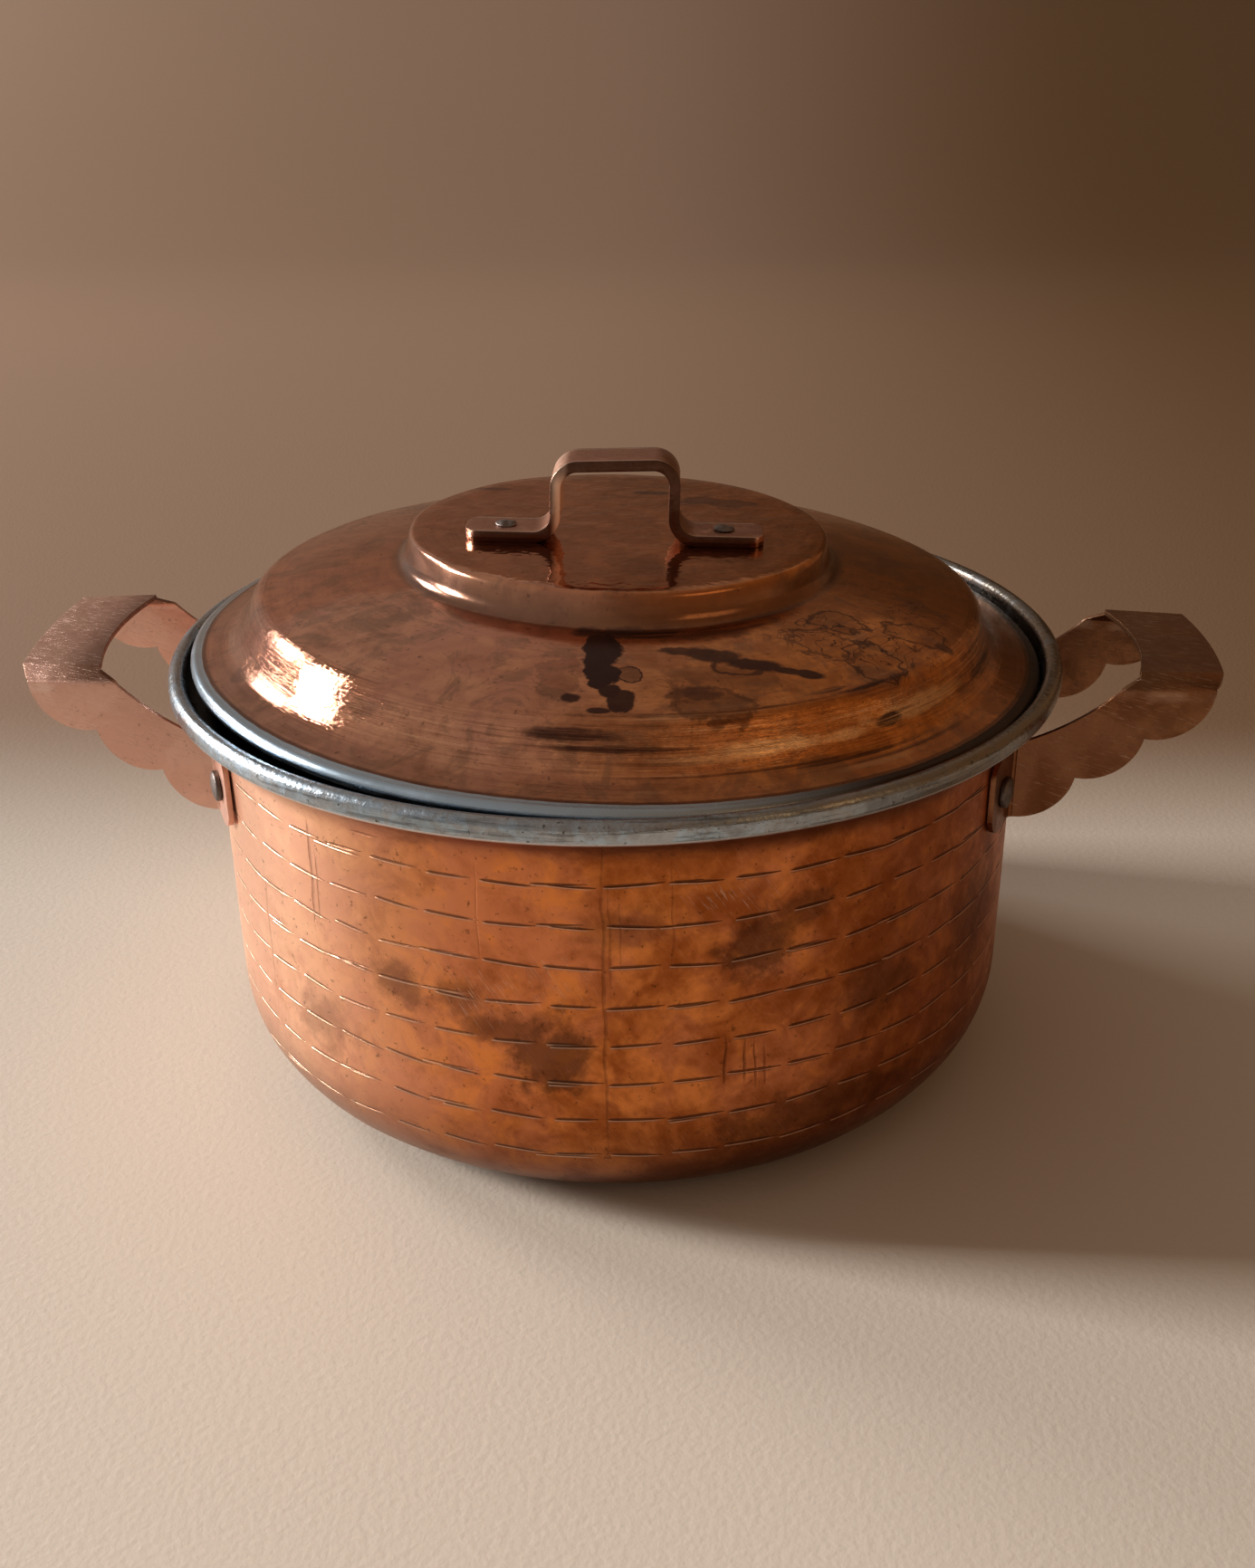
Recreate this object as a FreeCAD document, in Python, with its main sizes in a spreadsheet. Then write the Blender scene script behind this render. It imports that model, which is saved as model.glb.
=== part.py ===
import FreeCAD, Part
import math
import os
import Sketcher

# A raised copper pot with a loose lid, a strap on the lid and two folded side handles.
# The origin is the middle of the flat bottom, on the surface that the pot stands on.
# The side handles lie along X and the photographed front faces -Y.

SIZES = (
    # pot shell
    ("wall_radius", 118.3),
    ("wall_sheet", 1.2),
    ("base_corner", 31.5),
    ("neck_flare", 6.9),
    ("neck_low_bend", 10.0),
    ("neck_top_bend", 7.0),
    ("rim_top", 127.1),
    ("rim_width", 4.8),
    ("rim_depth", 6.6),
    ("seat_depth", 2.8),
    ("wire_gap", 0.15),
    # side handles, which were folded by hand and differ a little
    ("handle_sheet", 1.5),
    ("handle_gap", 0.5),
    ("left_angle", 184.3),
    ("right_angle", -4.4),
    ("left_span", 75.5),
    ("right_span", 66.0),
    ("span_taper", 10.0),
    ("left_skew", 0.8),
    ("right_skew", 3.8),
    ("left_lobe_inset", 3.4),
    ("right_lobe_inset", -0.3),
    ("lobe_radius", 15.0),
    ("lobe_step_out", 17.5),
    ("lobe_foot_drop", 7.8),
    ("lobe_tip_drop", 3.4),
    ("grip_rise", 19.7),
    ("grip_width", 20.2),
    ("grip_tip", 1.8),
    ("grip_bow", 1.8),
    ("grip_inner_bow", 3.6),
    ("fold_size", 4.0),
    ("grip_inner_drop", 1.6),
    ("grip_inner_slant", 4.6),
    ("leg_bow_radius", 69.0),
    ("tab_drop", 16.6),
    ("tab_reach", 14.5),
    ("tab_corner", 6.0),
    ("tab_bend", 1.6),
    # side rivets, placed from the leg of the handle that they hold
    ("rivet_reach", 6.6),
    ("rivet_drop", 11.7),
    ("rivet_shank", 2.4),
    ("rivet_head", 4.4),
    ("rivet_rise", 1.5),
    ("rivet_crown", 0.9),
    ("rivet_tail", 3.8),
    ("rivet_tail_crown", 1.2),
    ("rivet_gap", 0.15),
    # lid shell, its heights stepping down from the disc to the rolled edge
    ("lid_sheet", 0.9),
    ("lid_side_gap", 1.6),
    ("lid_bead", 2.1),
    ("lid_seat_gap", 0.3),
    ("lid_tilt", 1.78),
    ("lid_angle", 2.4),
    ("lid_shift", 0.4),
    ("disc_margin", 18.0),
    ("riser_run", 1.8),
    ("riser_drop", 8.5),
    ("middle_drop", 8.4),
    ("middle_radius", 260.0),
    ("brim_run", 11.9),
    ("shoulder_run", 4.8),
    ("shoulder_drop", 11.1),
    ("brim_drop", 3.6),
    ("brim_radius", 60.0),
    ("disc_edge_round", 1.8),
    ("riser_foot_round", 3.0),
    ("shoulder_round", 6.0),
    ("shoulder_foot_round", 8.0),
    # strap on the lid
    ("strap_sheet", 3.0),
    ("strap_width", 15.5),
    ("strap_length", 84.2),
    ("strap_legs", 36.2),
    ("strap_height", 24.6),
    ("strap_forward", 10.6),
    ("strap_shift", -0.8),
    ("strap_foot_bend", 5.0),
    ("strap_top_bend", 4.6),
    ("strap_tip_round", 5.0),
    # lid rivets
    ("lid_rivet_inset", 11.2),
    ("lid_rivet_shank", 1.9),
    ("lid_rivet_head", 3.0),
    ("lid_rivet_rise", 0.4),
    ("lid_rivet_crown", 0.7),
    # how far a cutting shape runs past what it cuts
    ("overrun", 6.0),
)

FULL_TURN = 360
PARTS_FOLDER = "parts"

doc = FreeCAD.newDocument("copper_pot")
sheet = doc.addObject("Spreadsheet::Sheet", "Sizes")
for row, (alias, value) in enumerate(SIZES, start=1):
    sheet.set(f"A{row}", alias)
    sheet.set(f"B{row}", str(value))
    sheet.setAlias(f"B{row}", alias)
doc.recompute()


class Size:
    """A length or an angle in degrees, together with the formula that binds it to the sheet."""

    def __init__(self, value, text):
        self.value = value
        self.text = text

    def joined(self, sign, other, value):
        text = other.text if isinstance(other, Size) else repr(other)
        return Size(value, f"({self.text} {sign} {text})")

    def __add__(self, other):
        return self.joined("+", other, self.value + number(other))

    def __sub__(self, other):
        return self.joined("-", other, self.value - number(other))

    def __mul__(self, other):
        return self.joined("*", other, self.value * number(other))

    def __truediv__(self, other):
        return self.joined("/", other, self.value / number(other))

    def __neg__(self):
        return Size(-self.value, f"(0 - {self.text})")

    def root(self):
        return Size(math.sqrt(self.value), f"sqrt({self.text})")

    def sin(self):
        return Size(math.sin(math.radians(self.value)), f"sin({self.text} * 1 deg)")

    def cos(self):
        return Size(math.cos(math.radians(self.value)), f"cos({self.text} * 1 deg)")

    def arcsin(self):
        return Size(math.degrees(math.asin(self.value)), f"(asin({self.text}) / 1 deg)")


def number(value):
    return value.value if isinstance(value, Size) else value


S = {alias: Size(float(sheet.get(alias)), f"Sizes.{alias}") for alias, value in SIZES}
ZERO = Size(0.0, "0")
NEAR_MISS = S["wire_gap"].value / 10


# Bodies, sketches and features

def new_body(name):
    body = doc.addObject("PartDesign::Body", name)
    body.Label = name
    return body


def attach(feature, body, role, across=ZERO, up=ZERO, out=ZERO, turn=ZERO):
    """Lay a sketch or primitive on an origin plane, moved in the plane and out of it and
    turned about the plane's upward line."""
    for plane in body.Origin.OriginFeatures:
        if plane.Role == role:
            feature.AttachmentSupport = [(plane, "")]
    feature.MapMode = "FlatFace"
    spot = f"create(<<vector>>; {across.text}; {up.text}; {out.text})"
    spin = f"create(<<rotation>>; create(<<vector>>; 0; 1; 0); {turn.text})"
    feature.setExpression("AttachmentOffset", f"create(<<placement>>; {spot}; {spin})")


def new_sketch(body, name, role, **where):
    sketch = body.newObject("Sketcher::SketchObject", name)
    attach(sketch, body, role, **where)
    return sketch


def arc_edge(first, last, radius, bulge):
    """An arc under half a circle, whose centre lies to the left of the way from first to
    last when the bulge is 1 and to the right when it is -1."""
    chord = last.sub(first)
    rise = math.sqrt(max(radius * radius - chord.Length * chord.Length / 4, 0))
    side = FreeCAD.Vector(-chord.y, chord.x, 0).normalize() * bulge
    centre = (first + last) * 0.5 + side * rise
    return Part.Arc(first, centre - side * radius, last)


def add_outline(sketch, outline):
    """Draw a closed outline. A corner is (across, up), or (across, up, radius, bulge) where
    the side that ends at it is an arc."""
    corners = [FreeCAD.Vector(corner[0].value, corner[1].value, 0) for corner in outline]
    count = len(outline)
    base = sketch.GeometryCount
    for index, corner in enumerate(outline):
        first, last = corners[index - 1], corners[index]
        if len(corner) == 2:
            sketch.addGeometry(Part.LineSegment(first, last), False)
        else:
            sketch.addGeometry(arc_edge(first, last, corner[2].value, corner[3]), False)
    for index, corner in enumerate(outline):
        this = base + index
        following = base + (index + 1) % count
        end = nearest_end(sketch, this, corners[index])
        start = nearest_end(sketch, following, corners[index])
        sketch.addConstraint(Sketcher.Constraint("Coincident", this, end, following, start))
        pin(sketch, "DistanceX", this, end, corner[0])
        pin(sketch, "DistanceY", this, end, corner[1])
        if len(corner) > 2:
            set_radius(sketch, this, corner[2])


def add_circle(sketch, across, up, radius):
    centre = FreeCAD.Vector(across.value, up.value, 0)
    ring = sketch.addGeometry(Part.Circle(centre, FreeCAD.Vector(0, 0, 1), radius.value), False)
    pin(sketch, "DistanceX", ring, 3, across)
    pin(sketch, "DistanceY", ring, 3, up)
    set_radius(sketch, ring, radius)


def nearest_end(sketch, index, point):
    gaps = [(sketch.getPoint(index, end).sub(point).Length, end) for end in (1, 2)]
    return min(gaps)[1]


def pin(sketch, kind, index, end, distance):
    """Hold one coordinate of a point at a size, or on the sketch's axis where it is zero."""
    if distance is ZERO:
        axis = -2 if kind == "DistanceX" else -1
        sketch.addConstraint(Sketcher.Constraint("PointOnObject", index, end, axis))
        return
    item = sketch.addConstraint(Sketcher.Constraint(kind, -1, 1, index, end, distance.value))
    sketch.setExpression(f"Constraints[{item}]", distance.text)


def set_radius(sketch, index, radius):
    item = sketch.addConstraint(Sketcher.Constraint("Radius", index, radius.value))
    sketch.setExpression(f"Constraints[{item}]", radius.text)


def turned(body, name, kind, sketch, axis="V_Axis"):
    """A Revolution or a Groove, all the way round."""
    feature = body.newObject(f"PartDesign::{kind}", name)
    feature.Profile = sketch
    feature.ReferenceAxis = (sketch, [axis])
    feature.Angle = FULL_TURN
    return feature


def extruded(body, name, kind, sketch, length, both_ways=True):
    """A Pad or a Pocket."""
    feature = body.newObject(f"PartDesign::{kind}", name)
    feature.Profile = sketch
    feature.Midplane = both_ways
    feature.setExpression("Length", length.text)
    return feature


def drilled(body, name, role, radius, depth, **where):
    """A round hole that starts on a plane and runs outwards."""
    feature = body.newObject("PartDesign::SubtractiveCylinder", name)
    attach(feature, body, role, **where)
    feature.setExpression("Radius", radius.text)
    feature.setExpression("Height", depth.text)
    return feature


def rounded(body, name, chosen, radius):
    """Round the edges of the body's shape so far that the test picks."""
    doc.recompute()
    base = body.Tip
    names = [f"Edge{index}" for index, edge in enumerate(base.Shape.Edges, start=1) if chosen(edge)]
    if not names:
        raise ValueError(f"{name} finds no edge")
    feature = body.newObject("PartDesign::Fillet", name)
    feature.Base = (base, names)
    feature.setExpression("Radius", radius.text)
    return feature


def ring_at(radius, height):
    """A test that picks the circle about the Z axis with a given radius and height."""
    def chosen(edge):
        curve = edge.Curve
        if not isinstance(curve, Part.Circle):
            return False
        beside = math.hypot(curve.Center.x, curve.Center.y)
        misses = (curve.Radius - radius.value, curve.Center.z - height.value, beside)
        return max(abs(miss) for miss in misses) < NEAR_MISS
    return chosen


def line_at(along, near):
    """A test that picks straight edges along a direction whose middle passes a check."""
    def chosen(edge):
        if not isinstance(edge.Curve, Part.Line):
            return False
        way = edge.Vertexes[-1].Point.sub(edge.Vertexes[0].Point).normalize()
        return way.cross(along).Length < NEAR_MISS and near(edge.CenterOfMass)
    return chosen


# Pot: flat bottom, rounded corner, upright wall, and a neck that swells out to the lid's seat

mouth_radius = S["wall_radius"] + S["neck_flare"]
neck_outer = mouth_radius + S["wall_sheet"]
neck_gain = S["neck_flare"] + S["wall_sheet"]
neck_top_outer = S["neck_top_bend"] + S["wall_sheet"]
neck_low_inner = S["neck_low_bend"] + S["wall_sheet"]
neck_radii = S["neck_low_bend"] + neck_top_outer
neck_rise = (neck_radii * neck_gain * 2 - neck_gain * neck_gain).root()
seat_height = S["rim_top"] - S["seat_depth"]
neck_foot = seat_height - neck_rise
low_bend_middle = S["wall_radius"] + S["neck_low_bend"]
bend_run = (neck_radii - neck_gain) / neck_radii
bend_rise = neck_rise / neck_radii
wall_inner = S["wall_radius"] - S["wall_sheet"]
base_flat = S["wall_radius"] - S["base_corner"]
base_inner_corner = S["base_corner"] - S["wall_sheet"]
rim_round = S["rim_width"] / 2
rim_outer = mouth_radius + S["rim_width"]
rim_middle = mouth_radius + rim_round
rim_low = S["rim_top"] - S["rim_depth"] + rim_round
rim_high = S["rim_top"] - rim_round
wire_height = S["rim_top"] - S["rim_depth"] / 2
wire_hole = rim_round - S["wall_sheet"]

pot = new_body("pot_body")
shell_sketch = new_sketch(pot, "PotShellOutline", "XZ_Plane")
add_outline(shell_sketch, (
    (ZERO, ZERO),
    (base_flat, ZERO),
    (S["wall_radius"], S["base_corner"], S["base_corner"], 1),
    (S["wall_radius"], neck_foot),
    (low_bend_middle - S["neck_low_bend"] * bend_run, neck_foot + S["neck_low_bend"] * bend_rise,
     S["neck_low_bend"], -1),
    (neck_outer, seat_height, neck_top_outer, 1),
    (neck_outer, rim_high),
    (mouth_radius, rim_high),
    (mouth_radius, seat_height),
    (low_bend_middle - neck_low_inner * bend_run, neck_foot + neck_low_inner * bend_rise,
     S["neck_top_bend"], -1),
    (wall_inner, neck_foot, neck_low_inner, 1),
    (wall_inner, S["base_corner"]),
    (base_flat, S["wall_sheet"], base_inner_corner, -1),
    (ZERO, S["wall_sheet"]),
))
turned(pot, "PotShell", "Revolution", shell_sketch)

# The edge of the sheet is rolled outwards over a wire and closed against the neck
rim_sketch = new_sketch(pot, "RimOutline", "XZ_Plane")
add_outline(rim_sketch, (
    (mouth_radius, rim_low),
    (rim_middle, rim_low - rim_round, rim_round, 1),
    (rim_outer, rim_low, rim_round, 1),
    (rim_outer, rim_high),
    (rim_middle, S["rim_top"], rim_round, 1),
    (mouth_radius, rim_high, rim_round, 1),
))
turned(pot, "RolledRim", "Revolution", rim_sketch)
cavity_sketch = new_sketch(pot, "RimCavityOutline", "XZ_Plane")
add_circle(cavity_sketch, rim_middle, wire_height, wire_hole)
turned(pot, "RimCavity", "Groove", cavity_sketch)

# Side handles: tabs against the wall, lobed legs, a fold along each leg and a flat grip

tab_inner = S["wall_radius"] + S["handle_gap"]
tab_outer = tab_inner + S["handle_sheet"]
tab_top = S["rim_top"] - S["tab_drop"]
rivet_height = tab_top - S["rivet_drop"]
grip_height = tab_top + S["grip_rise"]
lobe_height = tab_top - S["lobe_foot_drop"]
lobe_step_up = (grip_height - S["lobe_tip_drop"] - lobe_height) / 2
leg_foot = lobe_height - S["lobe_radius"]
near_reach = S["wall_radius"] - S["lobe_radius"]
fold_foot = grip_height - S["fold_size"]
above = grip_height + S["overrun"]
below = leg_foot - S["overrun"]
step = (S["lobe_step_out"] * S["lobe_step_out"] + lobe_step_up * lobe_step_up).root()
cusp_depth = (S["lobe_radius"] * S["lobe_radius"] - step * step / 4).root()
cusp_out = S["lobe_step_out"] / 2 + cusp_depth * lobe_step_up / step
cusp_up = lobe_step_up / 2 - cusp_depth * S["lobe_step_out"] / step
hole_radius = S["rivet_shank"] + S["rivet_gap"]


def facing(way):
    """A test that picks flat faces that look along a direction."""
    def chosen(face):
        return isinstance(face.Surface, Part.Plane) and face.normalAt(0, 0).sub(way).Length < NEAR_MISS
    return chosen


def rivet_turn(span):
    """How far round the wall a rivet sits from the middle of its handle."""
    return ((span / 2 + S["rivet_reach"]) / tab_outer).arcsin()


def shape_leg(body, place, lobe_out, reach, flipped):
    """Cut away what lies outside the lobed outline of one leg. The cut runs to +Y, or to -Y
    where it is flipped."""
    inner_edge = reach - S["grip_width"]
    cusp = (lobe_out + cusp_out, lobe_height + cusp_up)
    beyond = S["overrun"] * 2
    last_lobe = lobe_height + lobe_step_up * 2
    front = new_sketch(body, f"{body.Name}_{place}Outline", "XZ_Plane")
    add_outline(front, (
        (ZERO, leg_foot),
        (lobe_out, leg_foot),
        (*cusp, S["lobe_radius"], 1),
        (cusp[0] + S["lobe_step_out"], cusp[1] + lobe_step_up, S["lobe_radius"], 1),
        (reach, last_lobe, S["lobe_radius"], 1),
        (reach + beyond, last_lobe),
        (reach + beyond, above),
        (inner_edge, above),
        (inner_edge, grip_height - S["grip_inner_drop"]),
        (inner_edge - S["grip_inner_slant"], fold_foot),
        (S["wall_radius"], tab_top, S["leg_bow_radius"], -1),
        (ZERO, tab_top),
    ))
    floor = below - S["overrun"]
    top = above + S["overrun"]
    far = reach + beyond * 2
    add_outline(front, ((-S["overrun"], floor), (far, floor), (far, top), (-S["overrun"], top)))
    cut = extruded(body, f"{body.Name}_{place}Leg", "Pocket", front, S["wall_radius"], both_ways=False)
    cut.Reversed = flipped


def bowed(half, rise):
    """The radius of a shallow arc from its half width and its rise."""
    return (half * half + rise * rise) / (rise * 2)


def side_handle(name, span, lobe_inset, skew, turn):
    body = new_body(name)
    lobe_out = S["wall_radius"] - lobe_inset
    reach = lobe_out + S["lobe_step_out"] * 2 + S["lobe_radius"]
    rear_reach = reach - skew
    half_near = span / 2
    half_far = half_near - S["span_taper"] / 2
    leg_slope = S["span_taper"] / 2 / (reach - near_reach)
    slant = (leg_slope * leg_slope + 1).root()
    block_reach = reach + S["overrun"]
    half_block = half_far - leg_slope * S["overrun"]

    # A wedge with its long upper edges cut off is hollowed out into grip, folds and legs
    block = new_sketch(body, f"{name}_BlockOutline", "XY_Plane", out=below)
    add_outline(block, (
        (near_reach, -half_near), (block_reach, -half_block), (block_reach, half_block),
        (near_reach, half_near)))
    wedge = extruded(body, f"{name}_Block", "Pad", block, grip_height - below, both_ways=False)
    doc.recompute()
    folds = body.newObject("PartDesign::Chamfer", f"{name}_Folds")
    folds.Base = (wedge, [
        f"Edge{index}" for index, edge in enumerate(wedge.Shape.Edges, start=1)
        if abs(edge.BoundBox.ZMin - grip_height.value) < NEAR_MISS and edge.BoundBox.XLength > NEAR_MISS])
    folds.setExpression("Size", S["fold_size"].text)
    doc.recompute()
    ways = (FreeCAD.Vector(0, 0, -1), FreeCAD.Vector(-1, 0, 0), FreeCAD.Vector(1, 0, 0))
    open_faces = [
        f"Face{index}" for index, face in enumerate(folds.Shape.Faces, start=1)
        if any(facing(way)(face) for way in ways)]
    arch = body.newObject("PartDesign::Thickness", f"{name}_Arch")
    arch.Base = (folds, open_faces)
    arch.Reversed = True
    arch.Join = "Intersection"
    arch.setExpression("Value", S["handle_sheet"].text)

    core = new_sketch(body, f"{name}_CoreOutline", "XZ_Plane")
    add_outline(core, ((ZERO, ZERO), (tab_inner, ZERO), (tab_inner, above), (ZERO, above)))
    turned(body, f"{name}_Core", "Groove", core)

    band = new_sketch(body, f"{name}_BandOutline", "XZ_Plane")
    band_top = tab_top + S["overrun"]
    add_outline(band, (
        (tab_inner, below), (tab_outer, below), (tab_outer, band_top), (tab_inner, band_top)))
    tabs = turned(body, f"{name}_Band", "Revolution", band)
    tabs.Midplane = True
    tab_turn = ((half_near + S["tab_reach"]) / tab_outer).arcsin()
    tabs.setExpression("Angle", (tab_turn * 2).text)

    # The band is cut away between the legs, whose inner faces draw together outwards
    gap_near = half_near - S["handle_sheet"] * slant
    gap_reach = tab_outer + S["overrun"]
    gap_far = gap_near - (gap_reach - near_reach) * leg_slope
    between = new_sketch(body, f"{name}_GapOutline", "XY_Plane")
    add_outline(between, (
        (near_reach, -gap_near), (gap_reach, -gap_far), (gap_reach, gap_far), (near_reach, gap_near)))
    extruded(body, f"{name}_Gap", "Pocket", between, band_top * 2)

    # The photographed front is the handle's own -Y side on the right and +Y side on the left
    front = 1 if name.startswith("left") else -1
    shape_leg(body, "Front", lobe_out, reach, front < 0)
    shape_leg(body, "Rear", lobe_out - skew, rear_reach, front > 0)

    # Seen from above, the grip's two long edges bow outwards and its rear is a little shorter
    half_grip = half_far - S["fold_size"] * slant
    chord = (half_grip * half_grip * 4 + skew * skew).root() / 2
    far = reach + S["overrun"] * 2
    trim = new_sketch(body, f"{name}_TrimOutline", "XY_Plane")
    add_outline(trim, (
        (reach, span * front),
        (reach, half_far * front),
        (reach + S["grip_tip"], half_grip * front),
        (rear_reach + S["grip_tip"], -half_grip * front, bowed(chord, S["grip_bow"]), -front),
        (rear_reach, -half_far * front),
        (rear_reach, -span * front),
        (far, -span * front),
        (far, span * front),
    ))
    extruded(body, f"{name}_Trim", "Pocket", trim, above * 2)
    inner_edge = reach - S["grip_width"]
    opening = new_sketch(body, f"{name}_OpeningOutline", "XY_Plane")
    add_outline(opening, (
        (tab_inner, half_grip * front),
        (inner_edge, half_grip * front),
        (inner_edge - skew, -half_grip * front, bowed(chord, S["grip_inner_bow"]), -front),
        (tab_inner, -half_grip * front),
    ))
    extruded(body, f"{name}_Opening", "Pocket", opening, above * 2)

    across = rivet_turn(span)
    for place, side in (("Rear", across), ("Front", -across)):
        drilled(body, f"{name}_{place}Hole", "YZ_Plane", hole_radius, tab_outer + S["overrun"],
                up=rivet_height, turn=side)

    def corner_at(radius):
        def near(middle):
            on_ring = abs(math.hypot(middle.x, middle.y) - radius.value) < NEAR_MISS
            return on_ring and abs(middle.y) < half_near.value and middle.z < tab_top.value
        return line_at(FreeCAD.Vector(0, 0, 1), near)

    rounded(body, f"{name}_BendInside", corner_at(tab_outer), S["tab_bend"])
    rounded(body, f"{name}_BendOutside", corner_at(tab_inner), S["tab_bend"] + S["handle_sheet"])

    def tab_tip(edge):
        middle = edge.CenterOfMass
        beside = abs(middle.y) > half_near.value + S["tab_bend"].value + S["rivet_head"].value
        short = abs(edge.Length - S["handle_sheet"].value) < NEAR_MISS
        return beside and short and isinstance(edge.Curve, Part.Line)

    rounded(body, f"{name}_TabTips", tab_tip, S["tab_corner"])
    body.setExpression("Placement", f"create(<<placement>>; create(<<vector>>; 0; 0; 0); "
                       f"create(<<rotation>>; create(<<vector>>; 0; 0; 1); {turn.text}))")
    return body


HANDLES = {
    "left": (S["left_span"], S["left_lobe_inset"], S["left_skew"], S["left_angle"]),
    "right": (S["right_span"], S["right_lobe_inset"], S["right_skew"], S["right_angle"]),
}
handles = [side_handle(f"{side}_handle", *sizes) for side, sizes in HANDLES.items()]

# Side rivets: a shank through wall and tab, a thick head outside and a low tail inside

tail_face = (wall_inner * wall_inner - S["rivet_tail"] * S["rivet_tail"]).root()


def cap_radius(radius, crown):
    """The radius of the ball that a domed head is cut from."""
    return (radius * radius + crown * crown) / (crown * 2)


def rivet_outline(tail, head, tail_radius, tail_crown, shank_radius, head_radius, head_rise, head_crown):
    """Half a rivet as (along, out) corners, from the tip of its tail to the crown of its head."""
    face = head + head_rise
    return (
        (tail - tail_crown, ZERO),
        (tail, tail_radius, cap_radius(tail_radius, tail_crown), -1),
        (tail, shank_radius),
        (head, shank_radius),
        (head, head_radius),
        (face, head_radius),
        (face + head_crown, ZERO, cap_radius(head_radius, head_crown), -1),
    )


side_rivet_outline = rivet_outline(
    tail_face, tab_outer, S["rivet_tail"], S["rivet_tail_crown"], S["rivet_shank"], S["rivet_head"],
    S["rivet_rise"], S["rivet_crown"])
side_rivets = []
for side, (span, lobe_inset, skew, turn) in HANDLES.items():
    # The front is reached clockwise from the right handle and anticlockwise from the left one
    front_sign = -1 if side == "right" else 1
    for place, sign in (("front", front_sign), ("rear", -front_sign)):
        azimuth = turn + rivet_turn(span) * sign
        rivet = new_body(f"{side}_{place}_rivet")
        outline = new_sketch(rivet, f"{side}_{place}_RivetOutline", "XZ_Plane")
        add_outline(outline, side_rivet_outline)
        turned(rivet, f"{side}_{place}_Turned", "Revolution", outline, axis="H_Axis")
        rivet.setExpression(
            "Placement", f"create(<<placement>>; create(<<vector>>; 0; 0; {rivet_height.text}); "
            f"create(<<rotation>>; create(<<vector>>; 0; 0; 1); {azimuth.text}))")
        drilled(pot, f"{side}_{place}_WallHole", "YZ_Plane", hole_radius, S["wall_radius"] + S["overrun"],
                up=rivet_height, turn=azimuth)
        side_rivets.append(rivet)

# Lid shell: disc, riser, gently domed middle, shoulder, brim and a rolled edge.
# Its own zero height is the middle of the rolled edge.

bead_middle = mouth_radius - S["lid_side_gap"] - S["lid_bead"]
brim_top = S["lid_bead"]
shoulder_foot = (bead_middle - S["brim_run"], brim_top + S["brim_drop"])
shoulder_top = (shoulder_foot[0] - S["shoulder_run"], shoulder_foot[1] + S["shoulder_drop"])
strap_half = S["strap_length"] / 2
disc_radius = strap_half + S["disc_margin"]
riser_foot = (disc_radius + S["riser_run"], shoulder_top[1] + S["middle_drop"])
disc_edge = (disc_radius, riser_foot[1] + S["riser_drop"])
disc_height = disc_edge[1]
disc_under = disc_height - S["lid_sheet"]


def inside(corner):
    """The matching corner of the lid's inner face."""
    return corner[0] - S["lid_sheet"], corner[1] - S["lid_sheet"]


lid = new_body("lid_shell")
lid_sketch = new_sketch(lid, "LidOutline", "XZ_Plane")
add_outline(lid_sketch, (
    (ZERO, disc_height),
    (ZERO, disc_under),
    inside(disc_edge),
    inside(riser_foot),
    (*inside(shoulder_top), S["middle_radius"] - S["lid_sheet"], -1),
    inside(shoulder_foot),
    (bead_middle, brim_top - S["lid_sheet"], S["brim_radius"] + S["lid_sheet"], 1),
    (bead_middle, brim_top),
    (*shoulder_foot, S["brim_radius"], -1),
    shoulder_top,
    (*riser_foot, S["middle_radius"], 1),
    disc_edge,
))
turned(lid, "LidShell", "Revolution", lid_sketch)
for round_name, corner, radius in (
    ("DiscEdge", disc_edge, S["disc_edge_round"]),
    ("ShoulderTop", shoulder_top, S["shoulder_round"]),
):
    rounded(lid, f"{round_name}Outside", ring_at(*corner), radius)
    rounded(lid, f"{round_name}Inside", ring_at(*inside(corner)), radius - S["lid_sheet"])
for round_name, corner, radius in (
    ("RiserFoot", riser_foot, S["riser_foot_round"]),
    ("ShoulderFoot", shoulder_foot, S["shoulder_foot_round"]),
):
    rounded(lid, f"{round_name}Outside", ring_at(*corner), radius)
    rounded(lid, f"{round_name}Inside", ring_at(*inside(corner)), radius + S["lid_sheet"])
bead_sketch = new_sketch(lid, "LidBeadOutline", "XZ_Plane")
add_circle(bead_sketch, bead_middle, ZERO, S["lid_bead"])
turned(lid, "LidBead", "Revolution", bead_sketch)
lid_cavity = S["lid_bead"] - S["lid_sheet"]
lid_cavity_sketch = new_sketch(lid, "LidCavityOutline", "XZ_Plane")
add_circle(lid_cavity_sketch, bead_middle, ZERO, lid_cavity)
turned(lid, "LidCavity", "Groove", lid_cavity_sketch)

# The lid lies a little askew: its right edge low on the seat, its left edge up on the rim
seat_run = bead_middle * S["lid_tilt"].cos() + S["lid_shift"] - mouth_radius + S["neck_top_bend"]
seat_room = S["neck_top_bend"] - S["lid_bead"] - S["lid_seat_gap"]
seat_drop = (seat_room * seat_room - seat_run * seat_run).root()
lid_height = seat_height - seat_drop + bead_middle * S["lid_tilt"].sin()
lid.setExpression(
    "Placement", f"create(<<placement>>; create(<<vector>>; {S['lid_shift'].text}; 0; {lid_height.text}); "
    f"create(<<rotation>>; {S['lid_angle'].text}; {S['lid_tilt'].text}; 0))")

# Strap on the lid: two feet, two upright legs and a flat top, bent from one strip

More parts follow.
